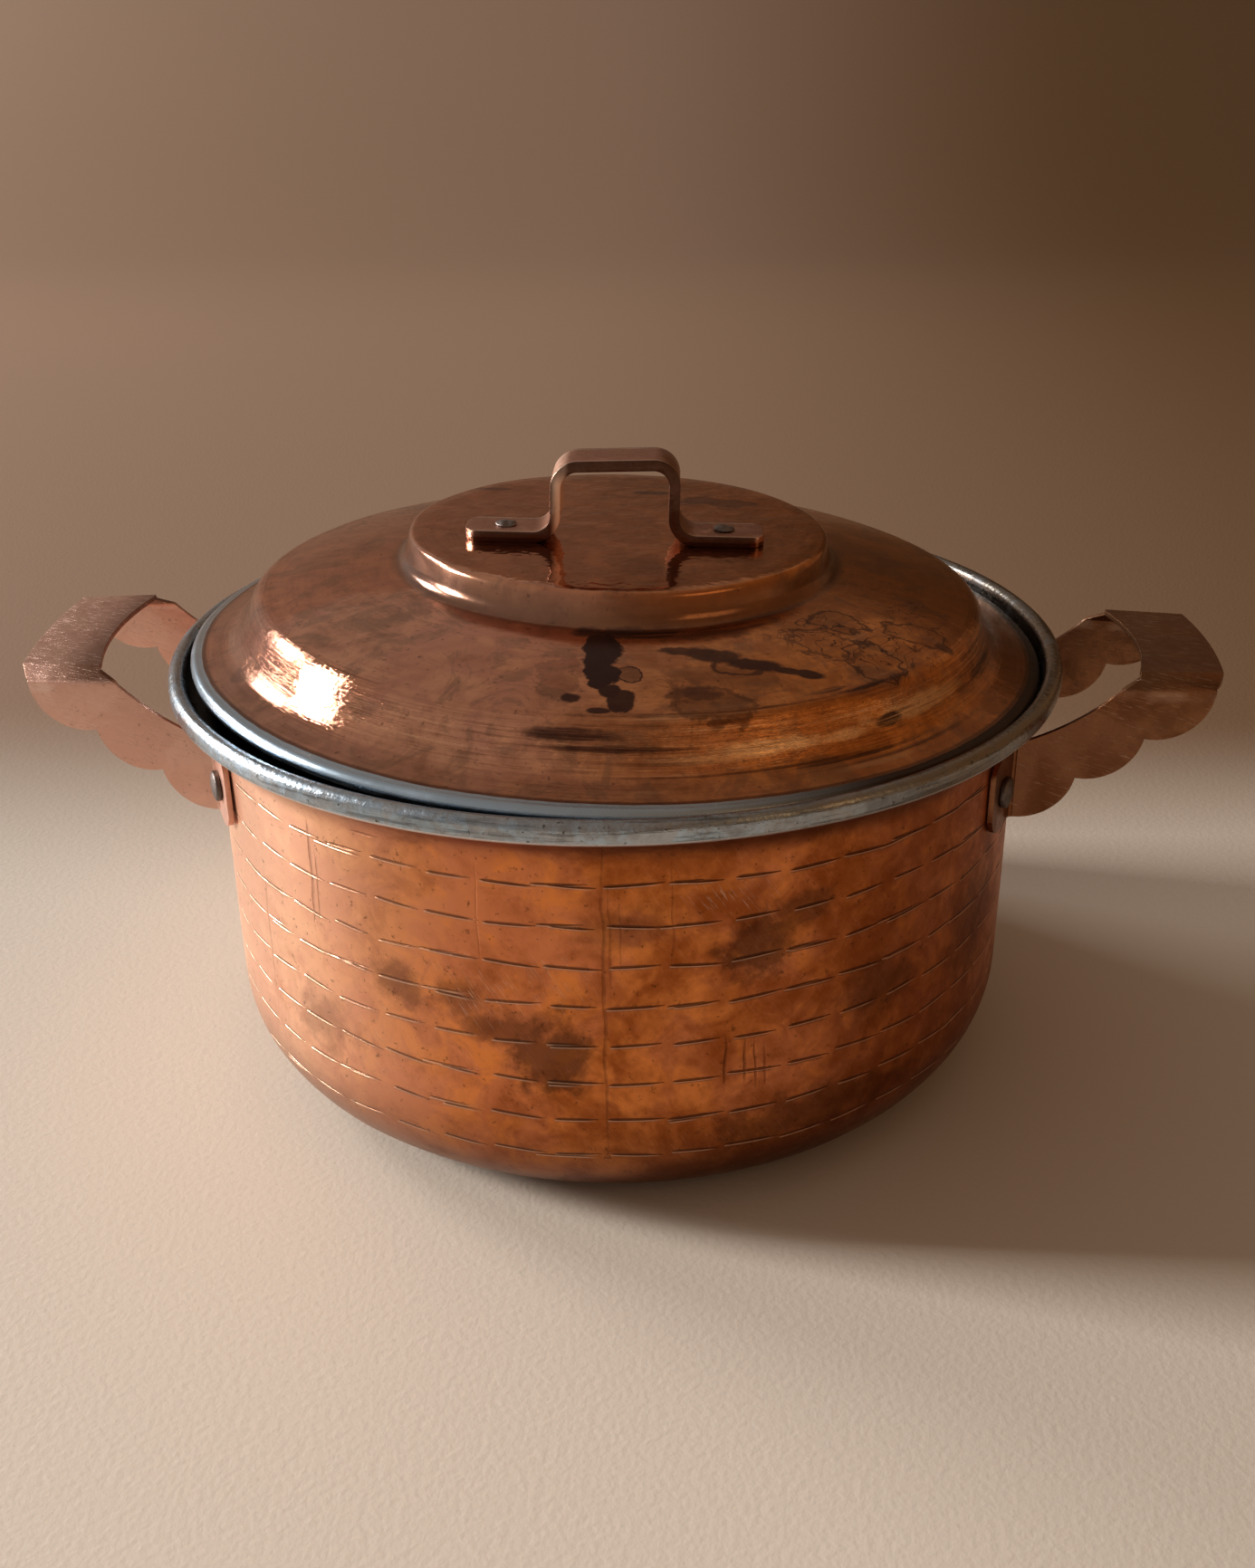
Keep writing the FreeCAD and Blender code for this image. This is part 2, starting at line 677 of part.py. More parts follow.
strap_tips = (S["strap_shift"] - strap_half, S["strap_shift"] + strap_half)
legs_half = S["strap_legs"] / 2
legs = (S["strap_shift"] - legs_half, S["strap_shift"] + legs_half)
leg_insides = (legs[0] + S["strap_sheet"], legs[1] - S["strap_sheet"])
foot_top = disc_height + S["strap_sheet"]
strap_top = disc_height + S["strap_height"]
strap_under = strap_top - S["strap_sheet"]
strap = new_body("lid_handle")
strap_sketch = new_sketch(strap, "StrapOutline", "XZ_Plane", out=S["strap_forward"])
add_outline(strap_sketch, (
    (strap_tips[0], disc_height),
    (leg_insides[0], disc_height),
    (leg_insides[0], strap_under),
    (leg_insides[1], strap_under),
    (leg_insides[1], disc_height),
    (strap_tips[1], disc_height),
    (strap_tips[1], foot_top),
    (legs[1], foot_top),
    (legs[1], strap_top),
    (legs[0], strap_top),
    (legs[0], foot_top),
    (strap_tips[0], foot_top),
))
extruded(strap, "Strap", "Pad", strap_sketch, S["strap_width"])


def strap_bend(columns, level):
    """A test that picks the strap's corners, which run across it, at two columns and a level."""
    def near(middle):
        at_level = abs(middle.z - level.value) < NEAR_MISS
        return at_level and any(abs(middle.x - column.value) < NEAR_MISS for column in columns)
    return line_at(FreeCAD.Vector(0, 1, 0), near)


for round_name, columns, level, radius in (
    ("FootBendInside", legs, foot_top, S["strap_foot_bend"]),
    ("FootBendOutside", leg_insides, disc_height, S["strap_foot_bend"] + S["strap_sheet"]),
    ("TopBendInside", leg_insides, strap_under, S["strap_top_bend"]),
    ("TopBendOutside", legs, strap_top, S["strap_top_bend"] + S["strap_sheet"]),
):
    rounded(strap, round_name, strap_bend(columns, level), radius)


def strap_tip(middle):
    return abs(middle.x - S["strap_shift"].value) > strap_half.value - NEAR_MISS


rounded(strap, "StrapTips", line_at(FreeCAD.Vector(0, 0, 1), strap_tip), S["strap_tip_round"])

# Lid rivets: through strap and disc, with low heads above and below

rivet_columns = {
    "left": strap_tips[0] + S["lid_rivet_inset"],
    "right": strap_tips[1] - S["lid_rivet_inset"],
}
lid_rivet_outline = [
    (out, along) if not arc else (out, along, arc[0], -arc[1])
    for along, out, *arc in rivet_outline(
        disc_under, foot_top, S["lid_rivet_head"], S["lid_rivet_crown"], S["lid_rivet_shank"],
        S["lid_rivet_head"], S["lid_rivet_rise"], S["lid_rivet_crown"])
]
lid_hole_radius = S["lid_rivet_shank"] + S["rivet_gap"]
lid_rivets = []
for side, column in rivet_columns.items():
    rivet = new_body(f"lid_{side}_rivet")
    outline = new_sketch(rivet, f"lid_{side}_RivetOutline", "XZ_Plane", across=column, out=S["strap_forward"])
    add_outline(outline, lid_rivet_outline)
    turned(rivet, f"lid_{side}_Turned", "Revolution", outline)
    for body in (lid, strap):
        drilled(body, f"{body.Name}_{side}_Hole", "XY_Plane", lid_hole_radius, strap_top,
                across=column, up=-S["strap_forward"])
    lid_rivets.append(rivet)

# Wires sealed in the two rolled edges


def wire(name, radius, hole):
    ring = doc.addObject("Part::Torus", name)
    ring.Label = name
    ring.setExpression("Radius1", radius.text)
    ring.setExpression("Radius2", (hole - S["wire_gap"]).text)
    return ring


rim_wire = wire("rim_wire", rim_middle, wire_hole)
rim_wire.setExpression("Placement.Base.z", wire_height.text)
lid_wire = wire("lid_wire", bead_middle, lid_cavity)
for piece in (strap, lid_wire, *lid_rivets):
    piece.setExpression("Placement", "lid_shell.Placement")

# Check every object, then write one file for each sub-part

doc.recompute()
for item in doc.Objects:
    if "Invalid" in item.State or "Error" in item.State:
        raise RuntimeError(f"{item.Label} failed: {item.State}")
os.makedirs(PARTS_FOLDER, exist_ok=True)
for piece in (pot, rim_wire, lid, lid_wire, strap, *lid_rivets, *handles, *side_rivets):
    shape = piece.Shape
    if shape.isNull() or not shape.isValid() or len(shape.Solids) != 1:
        raise RuntimeError(f"{piece.Label} has no single valid solid")
    shape.exportStep(os.path.join(PARTS_FOLDER, f"{piece.Label}.step"))
    print(f"{piece.Label}: {shape.Volume:.0f} mm3")
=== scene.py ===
import math

import bpy
from mathutils import Matrix, Vector, noise


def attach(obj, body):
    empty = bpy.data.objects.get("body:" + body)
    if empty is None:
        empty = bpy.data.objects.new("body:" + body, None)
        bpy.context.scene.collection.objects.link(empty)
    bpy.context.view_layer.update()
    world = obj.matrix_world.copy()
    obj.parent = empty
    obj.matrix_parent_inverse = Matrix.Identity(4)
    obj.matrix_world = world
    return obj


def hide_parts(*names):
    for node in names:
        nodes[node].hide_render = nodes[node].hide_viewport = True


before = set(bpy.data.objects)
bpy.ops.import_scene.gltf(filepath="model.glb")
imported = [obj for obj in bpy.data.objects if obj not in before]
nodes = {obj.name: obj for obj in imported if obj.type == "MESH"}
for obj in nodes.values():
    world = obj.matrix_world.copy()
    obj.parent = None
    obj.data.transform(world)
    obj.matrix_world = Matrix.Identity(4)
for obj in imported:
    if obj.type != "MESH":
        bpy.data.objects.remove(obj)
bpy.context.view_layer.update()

# The camera stands where the photograph was taken: in front of the pot, a little to the right of its
# middle and half a metre off, looking down by 25 degrees and slightly to the left.

CAMERA_SPOT = (0.0364, -0.4703, 0.29755)
CAMERA_HEADING = math.radians(4.06)
CAMERA_DROP = math.radians(25.39)
CAMERA_ROLL = math.radians(-0.75)
CAMERA_LENS = 38.45
CAMERA_SHIFT = 0.0052

camera_data = bpy.data.cameras.new("photo_camera")
camera_data.lens = CAMERA_LENS
camera_data.shift_y = CAMERA_SHIFT
camera_data.clip_start = 0.01
camera = bpy.data.objects.new("photo_camera", camera_data)
bpy.context.scene.collection.objects.link(camera)
camera.matrix_world = (
    Matrix.Translation(CAMERA_SPOT)
    @ Matrix.Rotation(CAMERA_HEADING, 4, "Z")
    @ Matrix.Rotation(math.pi / 2 - CAMERA_DROP, 4, "X")
    @ Matrix.Rotation(CAMERA_ROLL, 4, "Z"))
bpy.context.scene.camera = camera
bpy.context.scene.view_settings.view_transform = "Standard"

# The studio is a sheet of pale kraft paper that lies flat under the pot, goes brown behind it and
# sweeps up. A soft window lamp stands low to the left, a smaller one behind it, and a weak warm one
# fills the right.

PAPER_COLOR = (0.57, 0.5, 0.42, 1)
PAPER_SHADE_NEAR_LAMP = (0.42, 0.39, 0.34, 1)
BACKDROP_COLOR = (0.2, 0.125, 0.08, 1)
BACKDROP_SHADE = (0.1, 0.05, 0.018, 1)
FLOOR_REACH = 1.7
SWEEP_RADIUS = 0.9
SWEEP_HEIGHT = 0.5
SKY_LEFT = (0.62, 0.54, 0.48, 1)
SKY_RIGHT = (0.36, 0.19, 0.09, 1)
PAPER_GRAIN = 0.00012


def add_node(tree, kind, inputs=None, **settings):
    """Add a shader node. An input is a number, a colour or another node's output to link."""
    node = tree.nodes.new(f"ShaderNode{kind}")
    for name, value in settings.items():
        setattr(node, name, value)
    for name, value in (inputs or {}).items():
        feed(tree, node.inputs[name], value)
    return node


def feed(tree, socket, value):
    if isinstance(value, bpy.types.NodeSocket):
        tree.links.new(value, socket)
    else:
        socket.default_value = value


def new_material(name, metallic=1):
    """A material with only a Principled shader and its output. All but the paper are metal."""
    material = bpy.data.materials.new(name)
    material.use_nodes = True
    tree = material.node_tree
    tree.nodes.clear()
    shader = add_node(tree, "BsdfPrincipled", {"Metallic": metallic})
    add_node(tree, "OutputMaterial", {"Surface": shader.outputs["BSDF"]})
    return material, tree, shader


def calculate(tree, operation, *values, clamp=False):
    """Add a Math node and return its result."""
    node = add_node(tree, "Math", operation=operation, use_clamp=clamp)
    for socket, value in zip(node.inputs, values):
        feed(tree, socket, value)
    return node.outputs[0]


def fade(tree, value, low, high, start=0.0, end=1.0):
    """A smooth step: start below the low value, end above the high one."""
    node = add_node(tree, "MapRange", {
        "Value": value, "From Min": low, "From Max": high, "To Min": start, "To Max": end},
        interpolation_type="SMOOTHSTEP")
    return node.outputs[0]


def mixed(tree, amount, first, second, blend_type="MIX"):
    """Mix two colours."""
    node = add_node(tree, "Mix", data_type="RGBA", blend_type=blend_type)
    feed(tree, node.inputs[0], amount)
    feed(tree, node.inputs[6], first)
    feed(tree, node.inputs[7], second)
    return node.outputs[2]


def grain(tree, place, scale, detail=2.0, roughness=0.5, distortion=0.0):
    """Smooth noise between 0 and 1."""
    node = add_node(tree, "TexNoise", {
        "Vector": place, "Scale": scale, "Detail": detail,
        "Roughness": roughness, "Distortion": distortion})
    return node.outputs[0]


def bumped(tree, shader, height, distance):
    """Raise the surface by a height between 0 and 1, times a distance in metres."""
    bump = add_node(tree, "Bump", {"Height": height, "Distance": distance})
    feed(tree, shader.inputs["Normal"], bump.outputs[0])


bpy.ops.object.select_all(action="DESELECT")
bpy.ops.mesh.primitive_plane_add(size=FLOOR_REACH * 2)
floor = bpy.context.object
floor.name = "studio_floor"
bpy.ops.object.mode_set(mode="EDIT")
bpy.ops.mesh.select_all(action="DESELECT")
bpy.ops.object.mode_set(mode="OBJECT")
for edge in floor.data.edges:
    edge.select = all(floor.data.vertices[i].co.y > 0 for i in edge.vertices)
bpy.ops.object.mode_set(mode="EDIT")
bpy.ops.mesh.select_mode(type="EDGE")
bpy.ops.mesh.spin(steps=24, angle=-math.pi / 2, center=(0, FLOOR_REACH, SWEEP_RADIUS), axis=(1, 0, 0))
bpy.ops.mesh.extrude_region_move(TRANSFORM_OT_translate={"value": (0, 0, SWEEP_HEIGHT)})
bpy.ops.object.mode_set(mode="OBJECT")
bpy.ops.object.shade_smooth()

paper, tree, shader = new_material("studio_paper", metallic=0)
place = add_node(tree, "TexCoord").outputs["Object"]
split = add_node(tree, "SeparateXYZ", {"Vector": place})
behind = fade(tree, split.outputs["Y"], 0.04, 0.25)
# Behind the pot the paper is painted darker to the right and far back, as painted shade.
beside = fade(tree, split.outputs["X"], -0.2, 0.6)
backdrop = mixed(tree, beside, BACKDROP_COLOR, BACKDROP_SHADE)
far_shade = fade(tree, split.outputs["Y"], 1.1, 2.2)
backdrop = mixed(tree, far_shade, backdrop, mixed(tree, 0.75, (0, 0, 0, 1), backdrop))
# Near the left lamp the paper is painted darker: painted shade that evens out the lamp's stronger light
# there.
near_lamp_shade = fade(tree, split.outputs["X"], -0.4, -0.06, 1.0, 0.0)
paper_tone = mixed(tree, near_lamp_shade, PAPER_COLOR, PAPER_SHADE_NEAR_LAMP)
feed(tree, shader.inputs["Base Color"], mixed(tree, behind, paper_tone, backdrop))
shader.inputs["Roughness"].default_value = 0.6
shader.inputs["Specular IOR Level"].default_value = 0.3
bumped(tree, shader, grain(tree, place, 500.0, 3.0), PAPER_GRAIN)
floor.data.materials.append(paper)


def soft_lamp(name, spot, aim, size, watts, color):
    """A rectangular lamp at a spot in metres, turned to what it is aimed at."""
    lamp_data = bpy.data.lights.new(name, "AREA")
    lamp_data.shape = "RECTANGLE"
    lamp_data.size, lamp_data.size_y = size
    lamp_data.energy = watts
    lamp_data.color = color
    lamp = bpy.data.objects.new(name, lamp_data)
    lamp.visible_camera = False
    bpy.context.scene.collection.objects.link(lamp)
    lamp.matrix_world = Matrix.Translation(spot) @ (
        (Vector(aim) - Vector(spot)).to_track_quat("-Z", "Y").to_matrix().to_4x4())


soft_lamp("left_lamp", (-5.98, 0.52, 2.0), (0, 0, 0.08), (1.2, 1.8), 760, (1, 0.98, 0.96))
soft_lamp("rear_left_lamp", (-3.05, 1.72, 1.75), (0, 0, 0.1), (1.0, 0.9), 62, (1, 0.98, 0.97))
soft_lamp("right_lamp", (1.3, -0.9, 1.0), (0, 0, 0.05), (0.8, 0.8), 1.2, (1, 0.6, 0.3))

world = bpy.data.worlds.new("studio_world")
world.use_nodes = True
tree = world.node_tree
split = add_node(tree, "SeparateXYZ", {"Vector": add_node(tree, "TexCoord").outputs["Generated"]})
rightward = fade(tree, split.outputs["X"], -0.7, 0.7)
sky = mixed(tree, rightward, SKY_LEFT, SKY_RIGHT)
feed(tree, tree.nodes["Background"].inputs["Color"], sky)
tree.nodes["Background"].inputs["Strength"].default_value = 0.6
bpy.context.scene.world = world

# The pot is one sheet of copper raised by hammer: a flat bottom, a rounded corner, an upright wall
# with eight rows of chased strokes, and a neck that flares to the lid's seat. Its edge is rolled
# outwards over a wire. It is wiped with tin inside and over the rim. Sizes are in millimetres.

MM = 0.001
WALL_RADIUS = 118.3
WALL_SHEET = 1.2
BASE_CORNER = 31.5
MOUTH_RADIUS = 125.2
NECK_LOW_BEND = 10.0
NECK_TOP_BEND = 7.0
NECK_FOOT = 109.16
NECK_ANGLE = 56.3
NECK_TUCK = 21.6
SEAT_HEIGHT = 124.3
RIM_ROUND = 2.4
RIM_LOW = 122.9
RIM_HIGH = 124.7
TIN_LINE = 121.9
TURN_STEPS = 256
POT_DENTS = 34
DENT_DEPTH = 0.3


def arc(middle, radius, start, end, steps):
    """Points (out, up) along an arc between two angles in degrees."""
    points = []
    for step in range(steps + 1):
        angle = math.radians(start + (end - start) * step / steps)
        points.append((middle[0] + radius * math.cos(angle), middle[1] + radius * math.sin(angle)))
    return points


def straight(first, last, steps):
    """Points on a straight line, without its two ends."""
    return [
        tuple(a + (b - a) * step / steps for a, b in zip(first, last))
        for step in range(1, steps)]


def turned_shell(name, outline):
    """Extrude an outline that starts and ends on the Z axis, point by point, and spin it round."""
    bpy.ops.object.select_all(action="DESELECT")
    bpy.ops.mesh.primitive_plane_add(size=MM)
    piece = bpy.context.object
    piece.name = name
    bpy.ops.object.mode_set(mode="EDIT")
    bpy.ops.mesh.select_mode(type="VERT")
    bpy.ops.mesh.select_all(action="SELECT")
    bpy.ops.mesh.merge(type="CENTER")
    bpy.ops.transform.translate(value=(outline[0][0] * MM, 0, outline[0][1] * MM))
    for first, last in zip(outline, outline[1:]):
        step = ((last[0] - first[0]) * MM, 0, (last[1] - first[1]) * MM)
        bpy.ops.mesh.extrude_vertices_move(TRANSFORM_OT_translate={"value": step})
    bpy.ops.mesh.select_all(action="SELECT")
    bpy.ops.mesh.spin(steps=TURN_STEPS, angle=math.tau, center=(0, 0, 0), axis=(0, 0, 1))
    bpy.ops.mesh.select_all(action="SELECT")
    bpy.ops.mesh.remove_doubles(threshold=MM / 100)
    bpy.ops.mesh.normals_make_consistent(inside=False)
    bpy.ops.object.mode_set(mode="OBJECT")
    bpy.ops.object.shade_smooth()
    return piece


def hammered(piece, wave, depth, upright):
    """Move the skin in and out, or up and down where it isn't upright, by slow smooth waves."""
    for vertex in piece.data.vertices:
        lift = noise.noise(vertex.co / (wave * MM)) * depth * MM
        beside = Vector((vertex.co.x, vertex.co.y, 0))
        if upright and beside.length > 0:
            vertex.co += beside.normalized() * lift
        else:
            vertex.co.z += lift


wall_inner = WALL_RADIUS - WALL_SHEET
base_flat = WALL_RADIUS - BASE_CORNER
rim_middle = MOUTH_RADIUS + RIM_ROUND
neck_low_middle = (WALL_RADIUS + NECK_LOW_BEND, NECK_FOOT)
neck_top_middle = (MOUTH_RADIUS - NECK_TOP_BEND, SEAT_HEIGHT)
pot_outline = [
    (0, 0),
    *straight((0, 0), (base_flat, 0), 8),
    *arc((base_flat, BASE_CORNER), BASE_CORNER, -90, 0, 20),
    *straight((WALL_RADIUS, BASE_CORNER), (WALL_RADIUS, NECK_FOOT), 24),
    *arc(neck_low_middle, NECK_LOW_BEND, 180, 180 - NECK_ANGLE, 8),
    *arc(neck_top_middle, NECK_TOP_BEND + WALL_SHEET, -NECK_ANGLE, -NECK_TUCK, 5)[1:],
    *arc((rim_middle, RIM_LOW), RIM_ROUND, -138, 0, 12),
    *arc((rim_middle, RIM_HIGH), RIM_ROUND, 0, 180, 16),
    *arc(neck_top_middle, NECK_TOP_BEND, 0, -NECK_ANGLE, 8),
    *arc(neck_low_middle, NECK_LOW_BEND + WALL_SHEET, 180 - NECK_ANGLE, 180, 8)[1:],
    *straight((wall_inner, NECK_FOOT), (wall_inner, BASE_CORNER), 24),
    *arc((base_flat, BASE_CORNER), BASE_CORNER - WALL_SHEET, 0, -90, 20),
    *straight((base_flat, WALL_SHEET), (0, WALL_SHEET), 8),
    (0, WALL_SHEET),
]
pot_shell = turned_shell("pot_shell", pot_outline)
hammered(pot_shell, POT_DENTS, DENT_DEPTH, upright=True)
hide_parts("pot_body")
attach(pot_shell, "pot")


def new_group(name, inputs, outputs):
    """A node group. Returns it with its entry node's outputs and its result node's inputs."""
    group = bpy.data.node_groups.new(name, "ShaderNodeTree")
    for socket, kind in inputs.items():
        group.interface.new_socket(name=socket, in_out="INPUT", socket_type=f"NodeSocket{kind}")
    for socket, kind in outputs.items():
        group.interface.new_socket(name=socket, in_out="OUTPUT", socket_type=f"NodeSocket{kind}")
    entry = group.nodes.new("NodeGroupInput")
    result = group.nodes.new("NodeGroupOutput")
    return group, entry.outputs, result.inputs


def use_group(tree, group, inputs):
    node = add_node(tree, "Group", node_tree=group)
    for name, value in inputs.items():
        feed(tree, node.inputs[name], value)
    return node.outputs


# Where a point lies round a turned shell, in degrees from the front, out from its axis and up
round_about, entry, result = new_group(
    "round_about", {"Place": "Vector"}, {"Around": "Float", "Out": "Float", "Up": "Float"})
split = add_node(round_about, "SeparateXYZ", {"Vector": entry["Place"]}).outputs
turn = calculate(round_about, "ARCTAN2", split["X"], calculate(round_about, "MULTIPLY", split["Y"], -1))
feed(round_about, result["Around"], calculate(round_about, "DEGREES", turn))
squares = [calculate(round_about, "MULTIPLY", split[axis], split[axis]) for axis in ("X", "Y")]
feed(round_about, result["Out"], calculate(round_about, "SQRT", calculate(round_about, "ADD", *squares)))
feed(round_about, result["Up"], split["Z"])

# One stain or scratch with a ragged edge, at a place and with a reach on two axes. The outline is
# the dark tide mark round it.
stain, entry, result = new_group("stain", {
    "Across": "Float", "Up": "Float", "Middle Across": "Float", "Middle Up": "Float",
    "Half Width": "Float", "Half Height": "Float", "Softness": "Float", "Ragged": "Float",
    "Edge Noise": "Float"}, {"Mask": "Float", "Outline": "Float"})
reaches = []
for axis, size in (("Across", "Half Width"), ("Up", "Half Height")):
    apart = calculate(stain, "SUBTRACT", entry[axis], entry[f"Middle {axis}"])
    share = calculate(stain, "DIVIDE", apart, entry[size])
    reaches.append(calculate(stain, "MULTIPLY", share, share))
reach = calculate(stain, "SQRT", calculate(stain, "ADD", *reaches))
push = calculate(stain, "MULTIPLY", calculate(stain, "SUBTRACT", entry["Edge Noise"], 0.5), entry["Ragged"])
edge = calculate(stain, "SUBTRACT", calculate(stain, "ADD", reach, push), 1.0)
inside = calculate(stain, "DIVIDE", edge, entry["Softness"])
feed(stain, result["Mask"], fade(stain, inside, -1.0, 1.0, 1.0, 0.0))
feed(stain, result["Outline"], fade(stain, calculate(stain, "ABSOLUTE", inside), 0.2, 1.0, 1.0, 0.0))

# Tarnish: broad and small clouds that turn a bright or a blushed tone brown, with small dark specks
tarnish, entry, result = new_group("tarnish", {
    "Place": "Vector", "Bright": "Color", "Blush": "Color", "Brown": "Color", "Dark": "Color",
    "Cloud Size": "Float", "Browning": "Float", "Specks": "Float"},
    {"Color": "Color", "Cloud": "Float", "Fine": "Float"})
coarse = calculate(tarnish, "DIVIDE", 1.0, entry["Cloud Size"])
broad = grain(tarnish, entry["Place"], coarse, 3.0, 0.6, 0.6)
small = grain(tarnish, entry["Place"], calculate(tarnish, "MULTIPLY", coarse, 3.7), 3.0, 0.6, 0.8)
fine = grain(tarnish, entry["Place"], calculate(tarnish, "MULTIPLY", coarse, 13.0), 4.0, 0.65)
cloud = calculate(tarnish, "ADD", calculate(tarnish, "MULTIPLY", broad, 0.5),
                  calculate(tarnish, "MULTIPLY", small, 0.32))
cloud = calculate(tarnish, "ADD", cloud, calculate(tarnish, "MULTIPLY", fine, 0.18))
cloud = calculate(tarnish, "ADD", cloud, calculate(tarnish, "SUBTRACT", entry["Browning"], 0.5))
cloud = fade(tarnish, cloud, 0.36, 0.66)
blushed = fade(tarnish, calculate(tarnish, "SUBTRACT", small, broad), -0.14, 0.14)
tone = mixed(tarnish, cloud, mixed(tarnish, blushed, entry["Bright"], entry["Blush"]), entry["Brown"])
dots = grain(tarnish, entry["Place"], 0.5, 3.0, 0.7)
speck = calculate(tarnish, "MULTIPLY", fade(tarnish, dots, 0.62, 0.7), entry["Specks"])
feed(tarnish, result["Color"], mixed(tarnish, speck, tone, entry["Dark"]))
feed(tarnish, result["Cloud"], cloud)
feed(tarnish, result["Fine"], fine)

# Fine scratches that all run one way
scratches, entry, result = new_group("scratches", {
    "Across": "Float", "Up": "Float", "Turn": "Float", "Length": "Float", "Width": "Float"},
    {"Lines": "Float"})
flat = add_node(scratches, "CombineXYZ", {"X": entry["Across"], "Y": entry["Up"]}).outputs[0]
turned = add_node(
    scratches, "VectorRotate", {"Vector": flat, "Angle": entry["Turn"]}, rotation_type="Z_AXIS")
ways = add_node(scratches, "SeparateXYZ", {"Vector": turned.outputs[0]}).outputs
drawn = add_node(scratches, "CombineXYZ", {
    "X": calculate(scratches, "DIVIDE", ways["X"], entry["Length"]),
    "Y": calculate(scratches, "DIVIDE", ways["Y"], entry["Width"])}).outputs[0]
feed(scratches, result["Lines"], fade(scratches, grain(scratches, drawn, 1.0, 3.0, 0.6), 0.56, 0.68))

# Eight rows of strokes chased with a blunt chisel between marked uprights, 48 to a turn. Each is a
# little off the line of its row, deeper at one end, and its lower edge is raised; its light tone is a
# painted highlight.
TOP_ROW = 104.8
ROW_PITCH = 11.43
ROW_COUNT = 8
STROKE_CELL = 7.5
FIRST_UPRIGHT = 2.4
MM_PER_DEGREE = math.radians(WALL_RADIUS)
# Cells that one stroke spans, its shortest and longest half, width, how far off the line, how many
STROKE_LAYERS = ((1, 5.7, 7.5, 0.46, 0.3, 1.0), (2, 4.0, 9.0, 0.3, 0.75, 0.45))

chased_rows, entry, result = new_group(
    "chased_rows", {"Around": "Float", "Up": "Float"}, {"Groove": "Float", "Lip": "Float"})
below = calculate(chased_rows, "SUBTRACT", TOP_ROW, entry["Up"])
below = calculate(chased_rows, "DIVIDE", below, ROW_PITCH)
row = calculate(chased_rows, "ROUND", below)
from_row = calculate(chased_rows, "MULTIPLY", calculate(chased_rows, "SUBTRACT", below, row), ROW_PITCH)
in_rows = calculate(chased_rows, "MULTIPLY",
                    calculate(chased_rows, "GREATER_THAN", row, -0.5),
                    calculate(chased_rows, "LESS_THAN", row, ROW_COUNT - 0.5))
groove = 0.0
lip = 0.0
for span, shortest, longest, width, off_line, share in STROKE_LAYERS:
    along = calculate(chased_rows, "DIVIDE", calculate(
        chased_rows, "SUBTRACT", entry["Around"], FIRST_UPRIGHT * span), STROKE_CELL * span)
    cell = calculate(chased_rows, "FLOOR", along)
    seed = add_node(chased_rows, "CombineXYZ", {"X": cell, "Y": row, "Z": span * 7.0}).outputs[0]
    chance = add_node(chased_rows, "TexWhiteNoise", {"Vector": seed}, noise_dimensions="3D")
    chances = add_node(chased_rows, "SeparateColor", {"Color": chance.outputs["Color"]}).outputs
    local = calculate(chased_rows, "SUBTRACT", calculate(chased_rows, "SUBTRACT", along, cell), 0.5)
    local = calculate(chased_rows, "MULTIPLY", local, STROKE_CELL * MM_PER_DEGREE * span)
    slope = fade(chased_rows, chances[0], 0.0, 1.0, -0.055, 0.07)
    rise = fade(chased_rows, chances[1], 0.0, 1.0, -off_line, off_line)
    half = fade(chased_rows, chances[2], 0.0, 1.0, shortest, longest)
    line = calculate(chased_rows, "ADD", calculate(chased_rows, "MULTIPLY", local, slope), rise)
    apart = calculate(chased_rows, "SUBTRACT", from_row, line)
    from_left = calculate(chased_rows, "ADD", half, local)
    from_right = calculate(chased_rows, "SUBTRACT", half, local)
    taper = calculate(chased_rows, "MULTIPLY", fade(chased_rows, from_left, 0.0, 1.6, 0.1, width),
                      fade(chased_rows, from_right, 0.0, 6.0, 0.3, 1.0))
    struck = calculate(chased_rows, "MULTIPLY",
                       calculate(chased_rows, "GREATER_THAN", from_left, 0.0),
                       calculate(chased_rows, "GREATER_THAN", from_right, 0.0))
    struck = calculate(chased_rows, "MULTIPLY", struck,
                       calculate(chased_rows, "LESS_THAN", chance.outputs["Value"], share))
    cut = fade(chased_rows, calculate(
        chased_rows, "DIVIDE", calculate(chased_rows, "ABSOLUTE", apart), taper), 0.2, 1.0, 1.0, 0.0)
    groove = calculate(chased_rows, "MAXIMUM", groove, calculate(chased_rows, "MULTIPLY", cut, struck))
    edge = calculate(chased_rows, "ABSOLUTE", calculate(chased_rows, "SUBTRACT", apart, 0.58))
    raised = calculate(chased_rows, "MULTIPLY", fade(chased_rows, edge, 0.0, 0.42, 1.0, 0.0), struck)
    raised = calculate(chased_rows, "MULTIPLY", raised, fade(chased_rows, from_right, 0.0, 5.0))
    lip = calculate(chased_rows, "MAXIMUM", lip, raised)
feed(chased_rows, result["Groove"], calculate(chased_rows, "MULTIPLY", groove, in_rows))
feed(chased_rows, result["Lip"], calculate(chased_rows, "MULTIPLY", lip, in_rows))


def in_millimetres(tree, middle=(0, 0, 0), turn=(0, 0, 0)):
    """A point's place on the piece, in millimetres from a middle and turned with it."""
    where = add_node(tree, "TexCoord").outputs["Object"]
    node = add_node(tree, "Mapping", {
        "Vector": where, "Location": middle, "Rotation": turn, "Scale": (MM, MM, MM)},
        vector_type="TEXTURE")
    return node.outputs[0]


